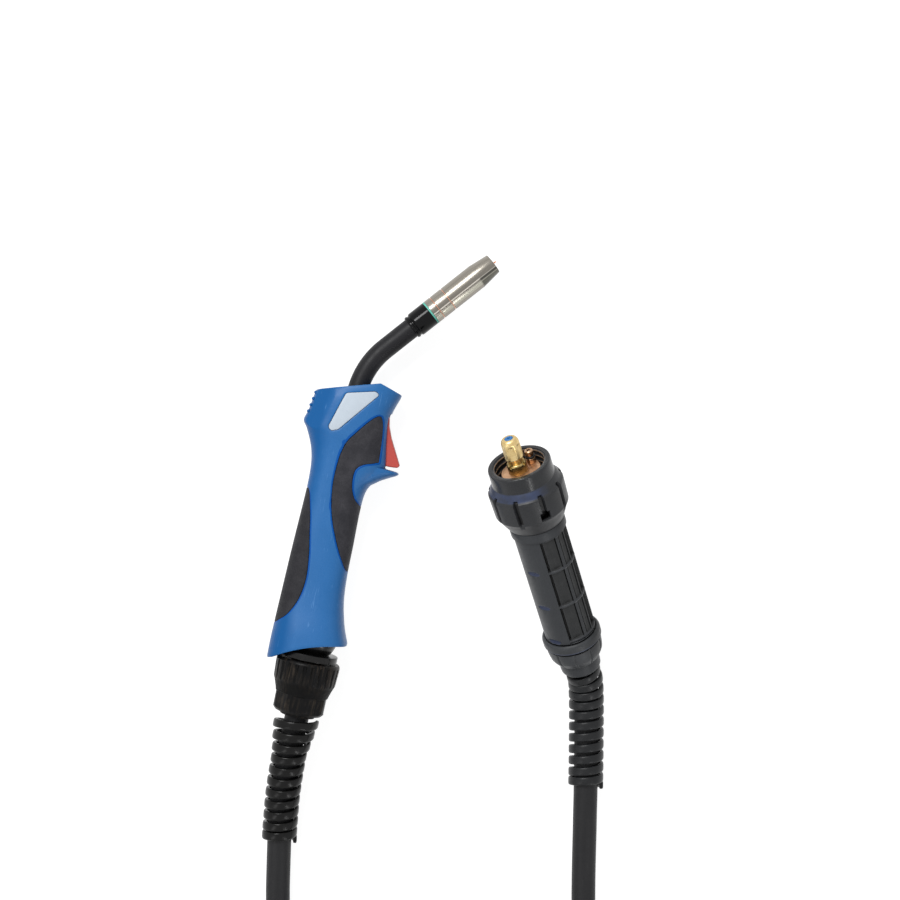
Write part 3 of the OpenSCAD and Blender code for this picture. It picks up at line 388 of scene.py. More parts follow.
TORCH_SPRING = plastic("torch_spring_wrap", (7, 7, 7), (44, 42, 40), 0.24, 0.9, 0.01, 0.2)
JACKET = plastic("cable_jacket", (26, 26, 28), (58, 58, 60), 0.5, 0.5, 0.03)
LINER = plastic("blue_liner", (40, 120, 190), (120, 170, 215), 0.35, 0.5, 0.01, place=PLUG)
RING = plastic("o_ring", (22, 22, 23), (50, 50, 50), 0.45, 0.4, 0.01)
LEADS = plastic("lead_jacket", (120, 52, 40), (150, 92, 80), 0.5, 0.5, 0.02)
NOZZLE_METAL = nozzle_metal()
COPPER = metal("copper", (214, 144, 104), (160, 92, 60), 0.3, HEAD)
COPPER_PLUG = metal("copper_nipple", (220, 184, 148), (140, 106, 78), 0.32,
                    PLUG @ shift(8.5, 5.5, 0))
BRASS = metal("brass", (228, 204, 150), (200, 172, 116), 0.34, PLUG, 0.3, 0.012, (150, 112, 56))
PIN_BRASS = metal("brass_pin", (184, 160, 108), (132, 112, 68), 0.3, PLUG, 0.3, 0.012,
                  (96, 76, 44))
BRONZE = metal("copper_block", (222, 182, 146), (194, 150, 116), 0.42, PLUG, 0.5, 0.01,
               (160, 104, 66))
STEEL = metal("bright_steel", (196, 196, 198), (150, 150, 152), 0.28, TORCH)
DARK_STEEL = metal("dark_steel", (90, 90, 92), (60, 60, 62), 0.34, TORCH)
TORCH_BRASS = metal("torch_brass", (220, 186, 100), (170, 130, 60), 0.26, HEAD)


# ---------------------------------------------------------------- meshes
def add_piece(name, points, faces, place, finishes, body, node, sharp=32, picks=None):
    """A piece from points in millimetres in a place's own axes. picks is one finish per face."""
    matrix = np.array(place)
    points = np.asarray(points, float) @ matrix[:3, :3].T + matrix[:3, 3]
    mesh = bpy.data.meshes.new(name)
    mesh.from_pydata((points * MM).tolist(), [], [list(map(int, f)) for f in faces])
    mesh.polygons.foreach_set("use_smooth", [True] * len(mesh.polygons))
    for finish in finishes:
        mesh.materials.append(finish)
    if picks is not None:
        mesh.polygons.foreach_set("material_index", np.asarray(picks, np.int32))
    mesh.update()
    mesh.set_sharp_from_angle(angle=math.radians(sharp))
    piece = link(bpy.data.objects.new(name, mesh))
    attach(piece, body)
    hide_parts(node)
    return piece


class Shape:
    """Points and faces collected from several simple forms."""

    def __init__(self):
        self.points, self.faces = [], []

    def add(self, points, faces):
        start = len(self.points)
        self.points += [tuple(map(float, p)) for p in points]
        self.faces += [[start + i for i in f] for f in faces]
        return self

    def grid(self, rows, close=True, hubs=()):
        """Quads between rings of points. hubs are the points that close the two ends."""
        n, m = len(rows), len(rows[0])
        faces = []
        for i in range(n - 1):
            for j in range(m if close else m - 1):
                k = (j + 1) % m
                faces.append((i * m + j, i * m + k, (i + 1) * m + k, (i + 1) * m + j))
        points = [tuple(p) for p in np.vstack(rows)]
        for base, order, hub in zip((0, (n - 1) * m), (-1, 1), hubs):
            points.append(tuple(hub))
            for j in range(m):
                faces.append((len(points) - 1, *(base + j, base + (j + 1) % m)[::order]))
        return self.add(points, faces)

    def piece(self, name, place, finish, body, node, slot, sharp=32):
        return add_piece(name, self.points, self.faces, place, [finish], body, node, sharp)


def rounded(profile, radius=0.3, steps=3):
    """A polygon with its corners rounded. Short sides limit the radius at each corner."""
    p = [np.array(q, float) for q in profile]
    nearly_straight = math.radians(172)
    out = []
    for i, b in enumerate(p):
        a, c = p[i - 1], p[(i + 1) % len(p)]
        la, lc = np.linalg.norm(a - b), np.linalg.norm(c - b)
        if la < 1e-6 or lc < 1e-6:
            out.append(b)
            continue
        ua, uc = (a - b) / la, (c - b) / lc
        angle = math.acos(max(-1, min(1, float(ua @ uc))))
        if angle > nearly_straight:
            out.append(b)
            continue
        cut = min(radius / math.tan(angle / 2), 0.42 * la, 0.42 * lc)
        for k in range(steps + 1):
            t = k / steps
            out.append((1 - t) ** 2 * (b + ua * cut) + 2 * t * (1 - t) * b + t * t * (b + uc * cut))
    return np.array(out)


def around(z, radius, angle):
    """A ring round Z. Its radius and height may change with the angle."""
    return np.stack([radius * np.cos(angle), radius * np.sin(angle), np.full(len(angle), z)], 1)


def ring_angles(count):
    return np.arange(count) * 2 * math.pi / count


def rings(profile, angle):
    return [around(z, r, angle) for r, z in profile]


def turned(name, place, finish, body, node, slot, profile, sides=96, radius=0.3):
    """A piece turned round Z from one closed profile of (radius, height)."""
    rows = rings(rounded(profile, radius) if radius else profile, ring_angles(sides))
    return Shape().grid(rows + rows[:1]).piece(name, place, finish, body, node, slot)


def fade(value, start, width):
    """0 below start and 1 from start + width on."""
    return np.clip((value - start) / width, 0, 1)


def levels_of(*parts):
    """All the levels in rising order, each of them once."""
    return np.unique(np.round(np.concatenate(parts), 3))


def smooth_line(points, u, cyclic=False):
    """Catmull-Rom curve through points, u counts them."""
    p = np.asarray(points, float)
    n = len(p)
    if cyclic:
        ext = np.vstack([p[-1:], p, p[:2]])
        last = n - 1
    else:
        ext = np.vstack([2 * p[:1] - p[1:2], p, 2 * p[-1:] - p[-2:-1]])
        last = n - 2
    u = np.asarray(u, float)
    i = np.clip(np.floor(u).astype(int), 0, last)
    t = (u - i)[..., None]
    a, b, c, d = ext[i], ext[i + 1], ext[i + 2], ext[i + 3]
    return 0.5 * (2 * b + (c - a) * t + (2 * a - 5 * b + 4 * c - d) * t**2
                  + (3 * b - a - 3 * c + d) * t**3)


def evenly(points, step, closed=False):
    """The same line with points a step apart."""
    p = np.asarray(points, float)
    if closed:
        p = np.vstack([p, p[:1]])
    length = np.concatenate([[0], np.cumsum(np.linalg.norm(np.diff(p, axis=0), axis=1))])
    count = max(2, int(round(length[-1] / step)))
    at = np.linspace(0, length[-1], count + 1)
    line = np.stack([np.interp(at, length, p[:, k]) for k in range(p.shape[1])], 1)
    return line[:-1] if closed else line


def unit(v):
    return v / np.maximum(np.linalg.norm(v, axis=-1, keepdims=True), 1e-12)


# ---------------------------------------------------------------- cable
TORCH_ROUTE = [
    [-59.3, -160.2, 22.5], [-61.8, -172, 22.5], [-64.3, -184, 21.4], [-66.6, -196, 19.7],
    [-68.7, -208, 17.8], [-70.4, -220, 16], [-71.5, -232, 14.4], [-72.5, -244, 13.2],
    [-73, -256, 12.6], [-73.5, -270, 11.8], [-74, -286, 10.4], [-74, -306, 9.2],
    [-74, -332, 8.6], [-74, -364, 8.6], [-74, -398, 8.6], [-74, -430, 8.6],
]
PLUG_ROUTE = [
    [139.3, -125, 25], [142.6, -135, 19.2], [143.6, -146.2, 15.3], [143.9, -158, 13.1],
    [143.9, -170, 12.6], [143.8, -182, 12.6], [143.7, -194, 12.6], [143.5, -206, 12.6],
    [143.3, -218, 12.6], [143, -230, 12.4], [142.8, -244, 11.4], [142.5, -260, 10],
    [142.2, -278, 9.2], [142, -298, 10], [142, -320, 12.4], [142, -344, 16.2],
    [142, -370, 20.8], [142, -398, 24.6], [142, -430, 26.1],
]
CABLE_D, INTO_PLUG = 17, 43
COIL_X, COIL_Y, COIL_OUT, TURN_STEP, COIL_TURNS, LAYER_Z = 34, -430, 108, 17.5, 2, 8.6


def coil_line():
    total = 360 * (2 * COIL_TURNS + 0.5)
    climb = 360 * COIL_TURNS
    g = np.linspace(0, total, 325)
    radius = np.where(g < climb + 90, COIL_OUT - TURN_STEP * g / 360,
                      COIL_OUT - TURN_STEP * (total - g) / 360)
    t = np.clip((g - climb) / 180, 0, 1)
    height = LAYER_Z + TURN_STEP * (1 - np.cos(math.pi * t)) / 2
    a = np.radians(g)
    return np.stack([COIL_X - radius * np.cos(a), COIL_Y - radius * np.sin(a), height], 1)


def cable_line():
    first = smooth_line(TORCH_ROUTE, np.linspace(0, len(TORCH_ROUTE) - 1, 140))
    last = smooth_line(PLUG_ROUTE, np.linspace(0, len(PLUG_ROUTE) - 1, 160))
    axis = np.array(PLUG)[:3, 2]
    inside = np.array(PLUG)[:3, 3] + np.arange(3, INTO_PLUG + 1, 4)[:, None] * axis
    return np.vstack([first, coil_line()[1:-1], last[::-1], inside])


def make_cable():
    line = cable_line()
    data = bpy.data.curves.new("cable", "CURVE")
    data.dimensions = "3D"
    spline = data.splines.new("POLY")
    spline.points.add(len(line) - 1)
    flat = np.hstack([line * MM, np.ones((len(line), 1))])
    spline.points.foreach_set("co", flat.astype(np.float32).ravel())
    spline.use_smooth = True
    data.bevel_depth = CABLE_D / 2 * MM
    data.bevel_resolution = 6
    data.use_fill_caps = True
    data.materials.append(JACKET)
    cable = link(bpy.data.objects.new("cable", data))
    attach(cable, "cable_set")
    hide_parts("torch_cable", "cable_coil", "plug_cable", "plug_cable_end")
    return cable, float(np.linalg.norm(np.diff(line, axis=0), axis=1).sum()) * MM


SPRING_LEN, SPRING_PITCH, SPRING_BAND, SPRING_THICK = 97, 8.1, 5.8, 2.5
ROUTE_STEP = 12.2  # between the routes' first points
BAND = rounded([(-0.5, -0.5), (0.5, -0.5), (0.5, 0.5), (-0.5, 0.5)], 0.26)


def make_spring(name, route, flare, node, finish):
    """A flat wire with rounded edges, wound round the smooth route, from radius flare on."""
    turns = SPRING_LEN // SPRING_PITCH
    per_turn = 40
    k = np.arange(int(turns * per_turn) + 1) / per_turn
    late = np.clip(k - (turns - 1.4), 0, None)
    closing = late**2 / 0.8 - np.clip(late - 0.4, 0, None) ** 2 / 0.8
    closing = (SPRING_PITCH - SPRING_BAND - 0.1) * closing
    u = (1 + SPRING_BAND / 2 + k * SPRING_PITCH - closing) / ROUTE_STEP
    centre = smooth_line(route, u)
    ahead = unit(smooth_line(route, u + 0.02) - smooth_line(route, u - 0.02))
    side = unit(np.cross([0, 0, 1], ahead))
    a = 2 * math.pi * k[:, None]
    out = np.cos(a) * side + np.sin(a) * np.cross(ahead, side)
    inner = CABLE_D / 2 + 1.2
    radius = (flare or inner) + (inner - (flare or inner)) * np.minimum(1, k / 3)
    rows = []
    for along, up in BAND:
        crown = 0.08 * (1 - (2 * along) ** 2) * (up > 0)
        reach = radius + (0.5 + up + crown) * SPRING_THICK
        rows.append(centre + reach[:, None] * out + along * SPRING_BAND * ahead)
    rows = np.stack(rows, 1)
    return Shape().grid(rows, hubs=(rows[0].mean(0), rows[-1].mean(0))).piece(
        name, WORLD, finish, "cable_set", node, "spring_wrap", 40)


cable, cable_length = make_cable()
torch_spring = make_spring("torch_spring_wound", TORCH_ROUTE, 13.4, "torch_spring", TORCH_SPRING)
plug_spring = make_spring("plug_spring_wound", PLUG_ROUTE, None, "plug_spring", SPRING)


# ---------------------------------------------------------------- handle
GH = 20.75
ROWS = np.array([
    [-GH - 1.8, 0, GH + 10, 18.9, 22.5, 4.3, 0], [-GH - 2, 13, GH + 5, 32, 21.5, 3, 0],
    [-GH - 1.7, 30, GH + 1.1, 49, 19.5, 1, 0], [-GH - 1.2, 52, GH - 0.3, 68, 17.8, 0, 0],
    [-GH - 0.5, 80, GH - 0.5, 88, 17, 0, 0], [-GH + 0.5, 108, GH - 0.9, 111, 17, 0, 0],
    [-GH + 0.9, 126, GH - 0.1, 125, 17.5, 0, 0], [-GH + 0.1, 140, GH + 3.4, 133, 18.2, 0, 0],
    [-GH - 2.6, 151, GH + 8.6, 139.5, 18.8, 0, 0], [-GH - 7.6, 161.7, GH + 11.1, 146.5, 19.5, 0, 0],
    [-GH - 11, 167.3, GH + 10.4, 153, 20, 0, 0], [-GH - 9.1, 175, GH + 8.3, 165, 20, 0, 0],
    [-GH - 7.2, 187, GH + 6.7, 181.5, 20, 0, 1], [-GH - 6.4, 189.7, GH + 11.4, 197.8, 18.8, 0, 7],
])
POWER, PEAK, TOP = 0.72, 0.735, len(ROWS) - 1.0
SPAN = 58.0
SLOT_LOW, SLOT_HIGH, SLOT_HALF = 145.6, 183.4, 8.2
FRONT_GRIP = [
    (21.6, 180), (26.3, 152), (24.4, 148), (16.2, 145), (11.6, 140), (11.6, 130), (15, 121),
    (21, 114.5), (26, 104), (26, 84), (21.5, 69.5), (14.4, 79), (7.4, 93), (1.8, 108),
    (-1.2, 124), (-1.6, 138), (0, 152), (5, 163),
]
REAR_GRIP = [
    (-18.6, 121.5), (-13.6, 107), (-10.2, 90), (-7.6, 76), (-6.2, 60), (-8, 46.5), (-12.5, 36),
    (-18, 29.5), (-26, 25), (-28, 50), (-28, 80), (-26, 112),
]
PLATE = [(-5.6, 191.4), (14.6, 196.6), (17.4, 194.4), (-5.6, 165.4), (-10.6, 163.4), (-13, 166)]
HORN = [(130, 18.75), (132, 23.75), (136.5, 29.75), (140, 36.0), (141.6, 39.2), (142.6, 40.6),
        (143.3, 41.0), (144.0, 40.7), (144.5, 39.6), (144.85, 35.75), (145.05, 26.75), (145.3, 20)]
CREASE = [(-20.6, 150), (-20.5, 153), (-17.5, 161), (-11, 194.2), (-10.2, 198)]


def row_at(u):
    """One cross row of the handle, from the tail at 0 to the head at TOP."""
    return smooth_line(ROWS, np.clip(u, 0, TOP))


def share_at(angle):
    """How far across the handle an angle round its section lies, from 0 at its back to 1."""
    c = np.cos(angle)
    return 0.5 - 0.5 * np.sign(c) * np.abs(c) ** POWER


def half_angle(s):
    c = 1 - 2 * np.clip(s, 0, 1)
    return np.arccos(np.sign(c) * np.abs(c) ** (1 / POWER))


ARC_A = np.concatenate([[0], np.geomspace(1e-4, math.pi / 2, 400)])
ARC_A = np.unique(np.concatenate([ARC_A, math.pi - ARC_A]))
ARC_X = 41.5 * share_at(ARC_A)
ARC_Z = 17.5 * np.abs(np.sin(ARC_A)) ** POWER
ARC_L = np.concatenate([[0], np.cumsum(np.hypot(np.diff(ARC_X), np.diff(ARC_Z)))])
ARC_V = ARC_L / ARC_L[-1]


def roof(s):
    return np.where(s < PEAK, s / PEAK, (1 - s) / (1 - PEAK))


def y_at(u, s):
    row = row_at(u)
    slant = (row[..., 3] - row[..., 1]) * s
    return (row[..., 1] + slant + row[..., 5] * 4 * s * (1 - s)
            + row[..., 6] * roof(np.clip(s, 0, 1)))


U_TABLE = np.linspace(0, TOP, 1301)
MID_TABLE = y_at(U_TABLE, 0.5)
MID_TABLE = np.maximum.accumulate(MID_TABLE + np.arange(len(MID_TABLE)) * 1e-9)


def loft(big_u, big_v):
    """Surface points for flat coordinates, up the handle and from its back to its front."""
    u = np.interp(big_u, MID_TABLE, U_TABLE)
    a = np.interp(np.clip(big_v / SPAN, 0, 1), ARC_V, ARC_A)
    s = share_at(a)
    row = row_at(u)
    x = row[..., 0] + (row[..., 2] - row[..., 0]) * s
    y = y_at(u, s)
    z = row[..., 4] * np.abs(np.sin(a)) ** POWER
    crease = np.interp(y, [c[1] for c in CREASE], [c[0] for c in CREASE])
    face = 19.35 - 0.62 * (crease - x) + 30 * np.clip((156 - y) / 10, 0, 1) ** 2
    z = np.where((x < crease) & (y > 146), np.minimum(z, np.maximum(face, 0)), z)
    reach = np.interp(y, [h[0] for h in HORN], [h[1] for h in HORN])
    share = np.maximum(0, 1 - (np.abs(z) / 14.4) ** 3.2) ** 0.6
    lift = np.where((y > 130) & (y < 145.3), np.maximum(0, reach - row[..., 2]) * share, 0)
    return np.stack([x + lift * (s > 0.5), y, z], -1)


def flat_of(x, y):
    """Flat coordinates of the surface point seen at (x, y) from the side."""
    x, y = np.asarray(x, float), np.asarray(y, float)
    low, high = np.zeros(x.shape), np.full(x.shape, TOP)
    for _ in range(40):
        mid = (low + high) / 2
        row = row_at(mid)
        s = (x - row[..., 0]) / (row[..., 2] - row[..., 0])
        under = y_at(mid, s) < y
        low, high = np.where(under, mid, low), np.where(under, high, mid)
    row = row_at(low)
    s = (x - row[..., 0]) / (row[..., 2] - row[..., 0])
    v = np.interp(half_angle(s), ARC_A, ARC_V) * SPAN
    wide = row[..., 2] - row[..., 0]
    v = v + np.where(s < 0, s * wide, 0) + np.where(s > 1, (s - 1) * wide, 0)
    return np.stack([np.interp(low, U_TABLE, MID_TABLE), v], -1)


def flat_outline(points, step=1.0):
    """A closed outline drawn in (x, y), laid on the surface."""
    fine = evenly(points, 0.4, closed=True)
    return evenly(flat_of(fine[:, 0], fine[:, 1]), step, closed=True)


def area_of(loop):
    x, y = loop[:, 0], loop[:, 1]
    return 0.5 * float(np.sum(x * np.roll(y, -1) - np.roll(x, -1) * y))


def grown(loop, distance):
    """The loop moved outwards by distance."""
    ahead = unit(np.roll(loop, -1, 0) - np.roll(loop, 1, 0))
    out = np.stack([ahead[:, 1], -ahead[:, 0]], 1) * (1 if area_of(loop) > 0 else -1)
    return loop + out * distance


def inside(points, loop):
    x, y = points[:, 0][:, None], points[:, 1][:, None]
    a, b = loop, np.roll(loop, -1, 0)
    hit = (a[:, 1] > y) != (b[:, 1] > y)
    rise = np.where(b[:, 1] == a[:, 1], 1e-9, b[:, 1] - a[:, 1])
    cross = a[:, 0] + (y - a[:, 1]) * (b[:, 0] - a[:, 0]) / rise
    return (np.sum(hit & (x < cross), 1) % 2) == 1


def away_from(points, loop, closed=True):
    """Distance of each point from a line."""
    a = loop if closed else loop[:-1]
    b = np.roll(loop, -1, 0) if closed else loop[1:]
    best = np.full(len(points), 1e9)
    for i in range(0, len(points), 4000):
        p = points[i:i + 4000][:, None]
        d = (b - a)[None]
        t = np.clip(((p - a) * d).sum(-1) / np.maximum((d * d).sum(-1), 1e-12), 0, 1)
        best[i:i + 4000] = np.sqrt((((a + t[..., None] * d) - p) ** 2).sum(-1)).min(1)
    return best


FRONT_LOOP = flat_outline(smooth_line(FRONT_GRIP, np.linspace(0, len(FRONT_GRIP), 300)[:-1], True))
REAR_LOOP = flat_outline(smooth_line(REAR_GRIP, np.linspace(0, len(REAR_GRIP), 240)[:-1], True))
PLATE_LOOP = flat_outline(rounded(PLATE, 3.2, 6), 0.7)


def slot_loop():
    """Edge of the trigger's slot: its side line, and its ends carried past the parting line."""
    us = np.linspace(0, TOP, 2601)
    a = math.pi - np.arcsin(np.clip(SLOT_HALF / row_at(us)[:, 4], 0, 1) ** (1 / POWER))
    s = share_at(a)
    y = y_at(us, s)
    keep = (y > SLOT_LOW) & (y < SLOT_HIGH) & (us > 6)
    v = np.interp(a[keep], ARC_A, ARC_V) * SPAN
    parts = [np.stack([np.interp(us[keep], U_TABLE, MID_TABLE), v], 1)]
    for height, last, order in ((SLOT_HIGH, -1, 1), (SLOT_LOW, 0, -1)):
        line = []
        for share in np.linspace(float(s[keep][last]), 1, 14):
            low, high = 6.0, TOP
            for _ in range(40):
                mid = (low + high) / 2
                if float(y_at(np.array(mid), np.array(share))) < height:
                    low = mid
                else:
                    high = mid
            v = np.interp(float(half_angle(np.array(share))), ARC_A, ARC_V) * SPAN
            line.append((float(np.interp(low, U_TABLE, MID_TABLE)), float(v)))
        parts.append(np.array(line + [(line[-1][0], SPAN + 4)])[::order])
    return evenly(np.vstack(parts), 0.8, closed=True)


SLOT_LOOP = slot_loop()
U_LOW, U_HIGH = float(MID_TABLE[0]), float(MID_TABLE[-1])


def lip(distance):
    """How far an edge is rounded down, by the distance from it."""
    return np.interp(distance, [0, 0.12, 0.3, 0.65, 1.1], [0.42, 0.17, 0.06, 0.012, 0])


def slot_lip(flat):
    return np.interp(away_from(flat, SLOT_LOOP), [0, 0.2, 0.6], [0.3, 0.08, 0])


def surface_normals(flat):
    e = 0.05
    u, v = flat[:, 0], flat[:, 1]
    du = loft(u + e, v) - loft(u - e, v)
    dv = loft(u, np.minimum(v + e, SPAN)) - loft(u, np.maximum(v - e, 0))
    n = unit(np.cross(dv, du))
    outward = n[:, 2:3] + 0.2 * (n[:, :1] * np.sign(flat[:, 1:2] - SPAN / 2))
    return np.where(outward < 0, -n, n)


def sheet(points, edges, kind=0, tolerance=1e-5):
    """Triangles between points in a plane, along the edges."""
    out = delaunay_2d_cdt([Vector(p) for p in points], edges, [], kind, tolerance)
    return np.array([tuple(p) for p in out[0]]), np.array([tuple(f) for f in out[2]])


def triangulate(region, loops, lines, spacing, extra=None, holes=()):
    """Triangles over a rectangle of flat coordinates, with loops and lines as edges."""
    u0, u1, v0, v1 = region
    points, edges = [], []
    border = [[(u, v) for u in np.arange(u0, u1, 1.2)] + [(u1, v)] for v in (v0, v1)]
    border += [[(u, v) for v in np.linspace(v0, v1, n)] for u, n in ((u0, 61), (u1, 91))]
    for line, closed in [(a, True) for a in loops] + [(a, False) for a in lines + border]:
        start, n = len(points), len(line)
        points.extend(map(tuple, line))
        edges.extend((start + i, start + (i + 1) % n) for i in range(n if closed else n - 1))
    taken = np.array(points)
    us = np.arange(u0 + spacing / 2, u1, spacing * 0.866)
    grid = np.array([(u, v) for i, u in enumerate(us)
                     for v in np.arange(v0 + spacing * (0.3 + 0.5 * (i % 2)), v1, spacing)])
    if extra is not None:
        grid = np.vstack([grid, extra])
    free = np.ones(len(grid), bool)
    for i in range(0, len(grid), 2000):
        d = np.abs(grid[i:i + 2000, None] - taken[None])
        free[i:i + 2000] = np.hypot(d[..., 0], d[..., 1]).min(1) > 0.3
    points.extend(map(tuple, grid[free]))
    flat, tris = sheet(points, edges)
    u, v = flat[tris].mean(1).T
    ok = (u > u0) & (u < u1) & (v > v0) & (v < v1)
    for hole in holes:
        ok &= ~inside(flat[tris].mean(1), hole)
    return flat, tris[ok]


def open_edges(faces):
    """Boundary edges of a triangle mesh, in the direction of their faces."""
    seen = {}
    for f in faces:
        for i in range(3):
            seen[(f[i], f[(i + 1) % 3])] = 1
    return [(a, b) for a, b in seen if (b, a) not in seen]


def add_skirt(points, faces, drop, wanted=lambda p, q: True):
    """Faces from the wanted open edges to new points. drop(k) is the one under point k."""
    points, faces = list(points), [tuple(t) for t in faces]
    below = {}
    for p, q in open_edges(faces):
        if wanted(p, q):
            for k in (p, q):
                if k not in below:
                    below[k] = len(points)
                    points.append(drop(k))
            faces.append((q, p, below[p], below[q]))
    return np.array(points), faces


def facing_up(tris, share):
    return np.where(share[:, None] < 0, tris[:, ::-1], tris)


def skin(flat, tris, sink, skirt):
    """Surface mesh sunk along its normals, with a skirt(point, normal, flat) at its open edges."""
    used = np.unique(tris)
    renumber = np.full(len(flat), -1)
    renumber[used] = np.arange(len(used))
    flat, tris = flat[used], renumber[tris]
    base = loft(flat[:, 0], flat[:, 1])
    normal = surface_normals(flat)
    points = base - normal * sink(flat)[:, None]
    a, b, c = (base[tris[:, k]] for k in range(3))
    tris = facing_up(tris, (np.cross(b - a, c - a) * normal[tris[:, 0]]).sum(1))
    return add_skirt(points, tris, lambda k: skirt(points[k], normal[k], flat[k]))


def part_line_sink(flat):
    """The hairline groove where the two halves meet, and the rounded edge at the top."""
    d = np.minimum(flat[:, 1], SPAN - flat[:, 1])
    top = np.interp(U_HIGH - flat[:, 0], [0, 0.25, 0.6, 1.1, 1.6], [0.75, 0.4, 0.15, 0.03, 0])
    return np.interp(d, [0, 0.15, 0.4], [0.16, 0.05, 0]) + top


def horn_points():
    """Closer points over the guard horn, where the surface reaches out."""
    us = np.concatenate([np.arange(130, 142, 0.8), np.arange(142, 158, 0.17)])
    out = np.array([(u, v) for u in us for v in np.arange(33.5, SPAN - 0.3, 0.8)])
    x, y, z = loft(out[:, 0], out[:, 1]).T
    return out[(y > 129) & (y < 145.9) & (z < 15.2) & (x > 14)]


def on_part_line(f):
    return min(f[1], SPAN - f[1]) < 0.01


def moved_in(p, distance):
    return np.array([p[0] - math.copysign(distance, p[0]), p[1], p[2]])


def blue_half():
    """The blue half body, open where the grips, the plate and the trigger sit."""
    pockets = (FRONT_LOOP, REAR_LOOP, PLATE_LOOP)
    loops = [grown(loop, d) for loop in pockets for d in (0.1, 0.22, 0.4, 0.75, 1.2)]
    loops += [SLOT_LOOP, grown(SLOT_LOOP, 0.2), grown(SLOT_LOOP, 0.6)]
    crease = evenly(CREASE[1:-1], 1.0)
    crease = flat_of(crease[:, 0], crease[:, 1])
    cuts = [grown(loop, 0.1) for loop in pockets]
    flat, tris = triangulate((U_LOW, U_HIGH, 0, SPAN), loops, [crease], 1.35, horn_points(),
                             cuts + [SLOT_LOOP])

    def sink(f):
        depth = part_line_sink(f)
        for cut in cuts:
            depth = depth + lip(away_from(f, cut))
        return depth + slot_lip(f) + np.interp(f[:, 0] - U_LOW, [0, 0.4, 1.2], [0.45, 0.12, 0])

    def skirt(p, n, f):
        by_slot = p[0] > 16 and SLOT_LOW - 0.8 < p[1] < SLOT_HIGH + 0.8
        if by_slot and p[2] < SLOT_HALF + 0.6 and f[1] < SPAN - 0.05:
            return np.array([12.5, p[1], p[2]])
        if f[0] < U_LOW + 0.01:
            q = p - n * 2.3
            return np.array([q[0], p[1] + 0.3, q[2]])
        if f[0] > U_HIGH - 0.01:
            return np.array([p[0], p[1] - 0.9, p[2]]) - n * 0.9
        return moved_in(p, 1.6) if on_part_line(f) else p - n * 1.3

    return skin(flat, tris, sink, skirt)


def edge_share(points):
    """True where a flat point is on the narrow rim round a grip."""
    return np.minimum(away_from(points, FRONT_LOOP), away_from(points, REAR_LOOP)) < 1.25


def soft_half(loop, shrink, raise_by, spacing):
    """One soft grip or plate that fills its pocket in the blue half."""
    edge = grown(loop, -shrink)
    loops = [edge] + [grown(loop, -shrink - d) for d in (0.12, 0.3, 0.65, 1.1)]
    (u0, v0), (u1, v1) = loop.min(0) - 1, loop.max(0) + 1
    region = (max(U_LOW, u0), min(U_HIGH, u1), max(0, v0), min(SPAN, v1))
    flat, tris = triangulate(region, loops + [SLOT_LOOP], [], spacing, None, [SLOT_LOOP])
    tris = tris[inside(flat[tris].mean(1), edge)]

    def sink(f):
        return part_line_sink(f) + lip(away_from(f, edge)) - raise_by + slot_lip(f)

    def skirt(p, n, f):
        return moved_in(p, 1.2) if on_part_line(f) else p - n * 1.2

    return skin(flat, tris, sink, skirt)


def mirrored(points, faces):
    return points * [1, 1, -1], [f[::-1] for f in faces]


def head_cap():
    """Top face of the upper half, with half of the neck's hole."""
    a = np.linspace(0, math.pi, 90)
    flat = np.stack([np.full(len(a), U_HIGH), np.interp(a, ARC_A, ARC_V) * SPAN], 1)
    rim = loft(flat[:, 0], flat[:, 1]) - surface_normals(flat) * 0.75
    rim[0, 2] = rim[-1, 2] = 0
    hole_x, hole_r = 1.5, 7.9
    t = np.linspace(0, math.pi, 40)
    hole = np.stack([hole_x + hole_r * np.cos(t), hole_r * np.sin(t)], 1)
    outline = rim[:, [0, 2]]
    inner = grown(np.vstack([outline, outline[::-1] * [1, -1]]), -0.6)[:len(outline)]
    inner = inner[inner[:, 1] > 0.2]
    points, edges = [], []
    for line in (outline, hole, inner):
        edges += [(len(points) + i, len(points) + i + 1) for i in range(len(line) - 1)]
        points += [tuple(p) for p in line]
    n, m = len(outline), len(hole)
    edges += [(0, n + m - 1), (n, n - 1)]
    points += [(x, z) for x in np.arange(-26, 31, 2.0) for z in np.arange(1, 19, 2.0)]
    flat, tris = sheet(points, edges)
    mid = flat[tris].mean(1)
    tris = tris[inside(mid, outline) & (np.hypot(mid[:, 0] - hole_x, mid[:, 1]) > hole_r - 0.02)]
    row = ROWS[-1]
    s = (flat[:, 0] - row[0]) / (row[2] - row[0])
    top = row[1] + (row[3] - row[1]) * s + row[6] * roof(np.clip(s, 0, 1))
    rim_gap = away_from(flat, outline, closed=False)
    hole_gap = np.abs(np.hypot(flat[:, 0] - hole_x, flat[:, 1]) - hole_r)
    sinks = np.maximum(np.interp(rim_gap, [0, 0.25, 0.6, 1.1], [0.5, 0.2, 0.04, 0]),
                       np.interp(hole_gap, [0, 0.4], [0.3, 0]))
    points = np.stack([flat[:, 0], top - sinks, flat[:, 1]], 1)
    a, b, c = (points[tris[:, i]] for i in range(3))
    return add_skirt(points, facing_up(tris, np.cross(b - a, c - a)[:, 1]),
                     lambda k: points[k] + [-0.7, -9, 0],
                     lambda p, q: max(hole_gap[p], hole_gap[q]) < 0.05)


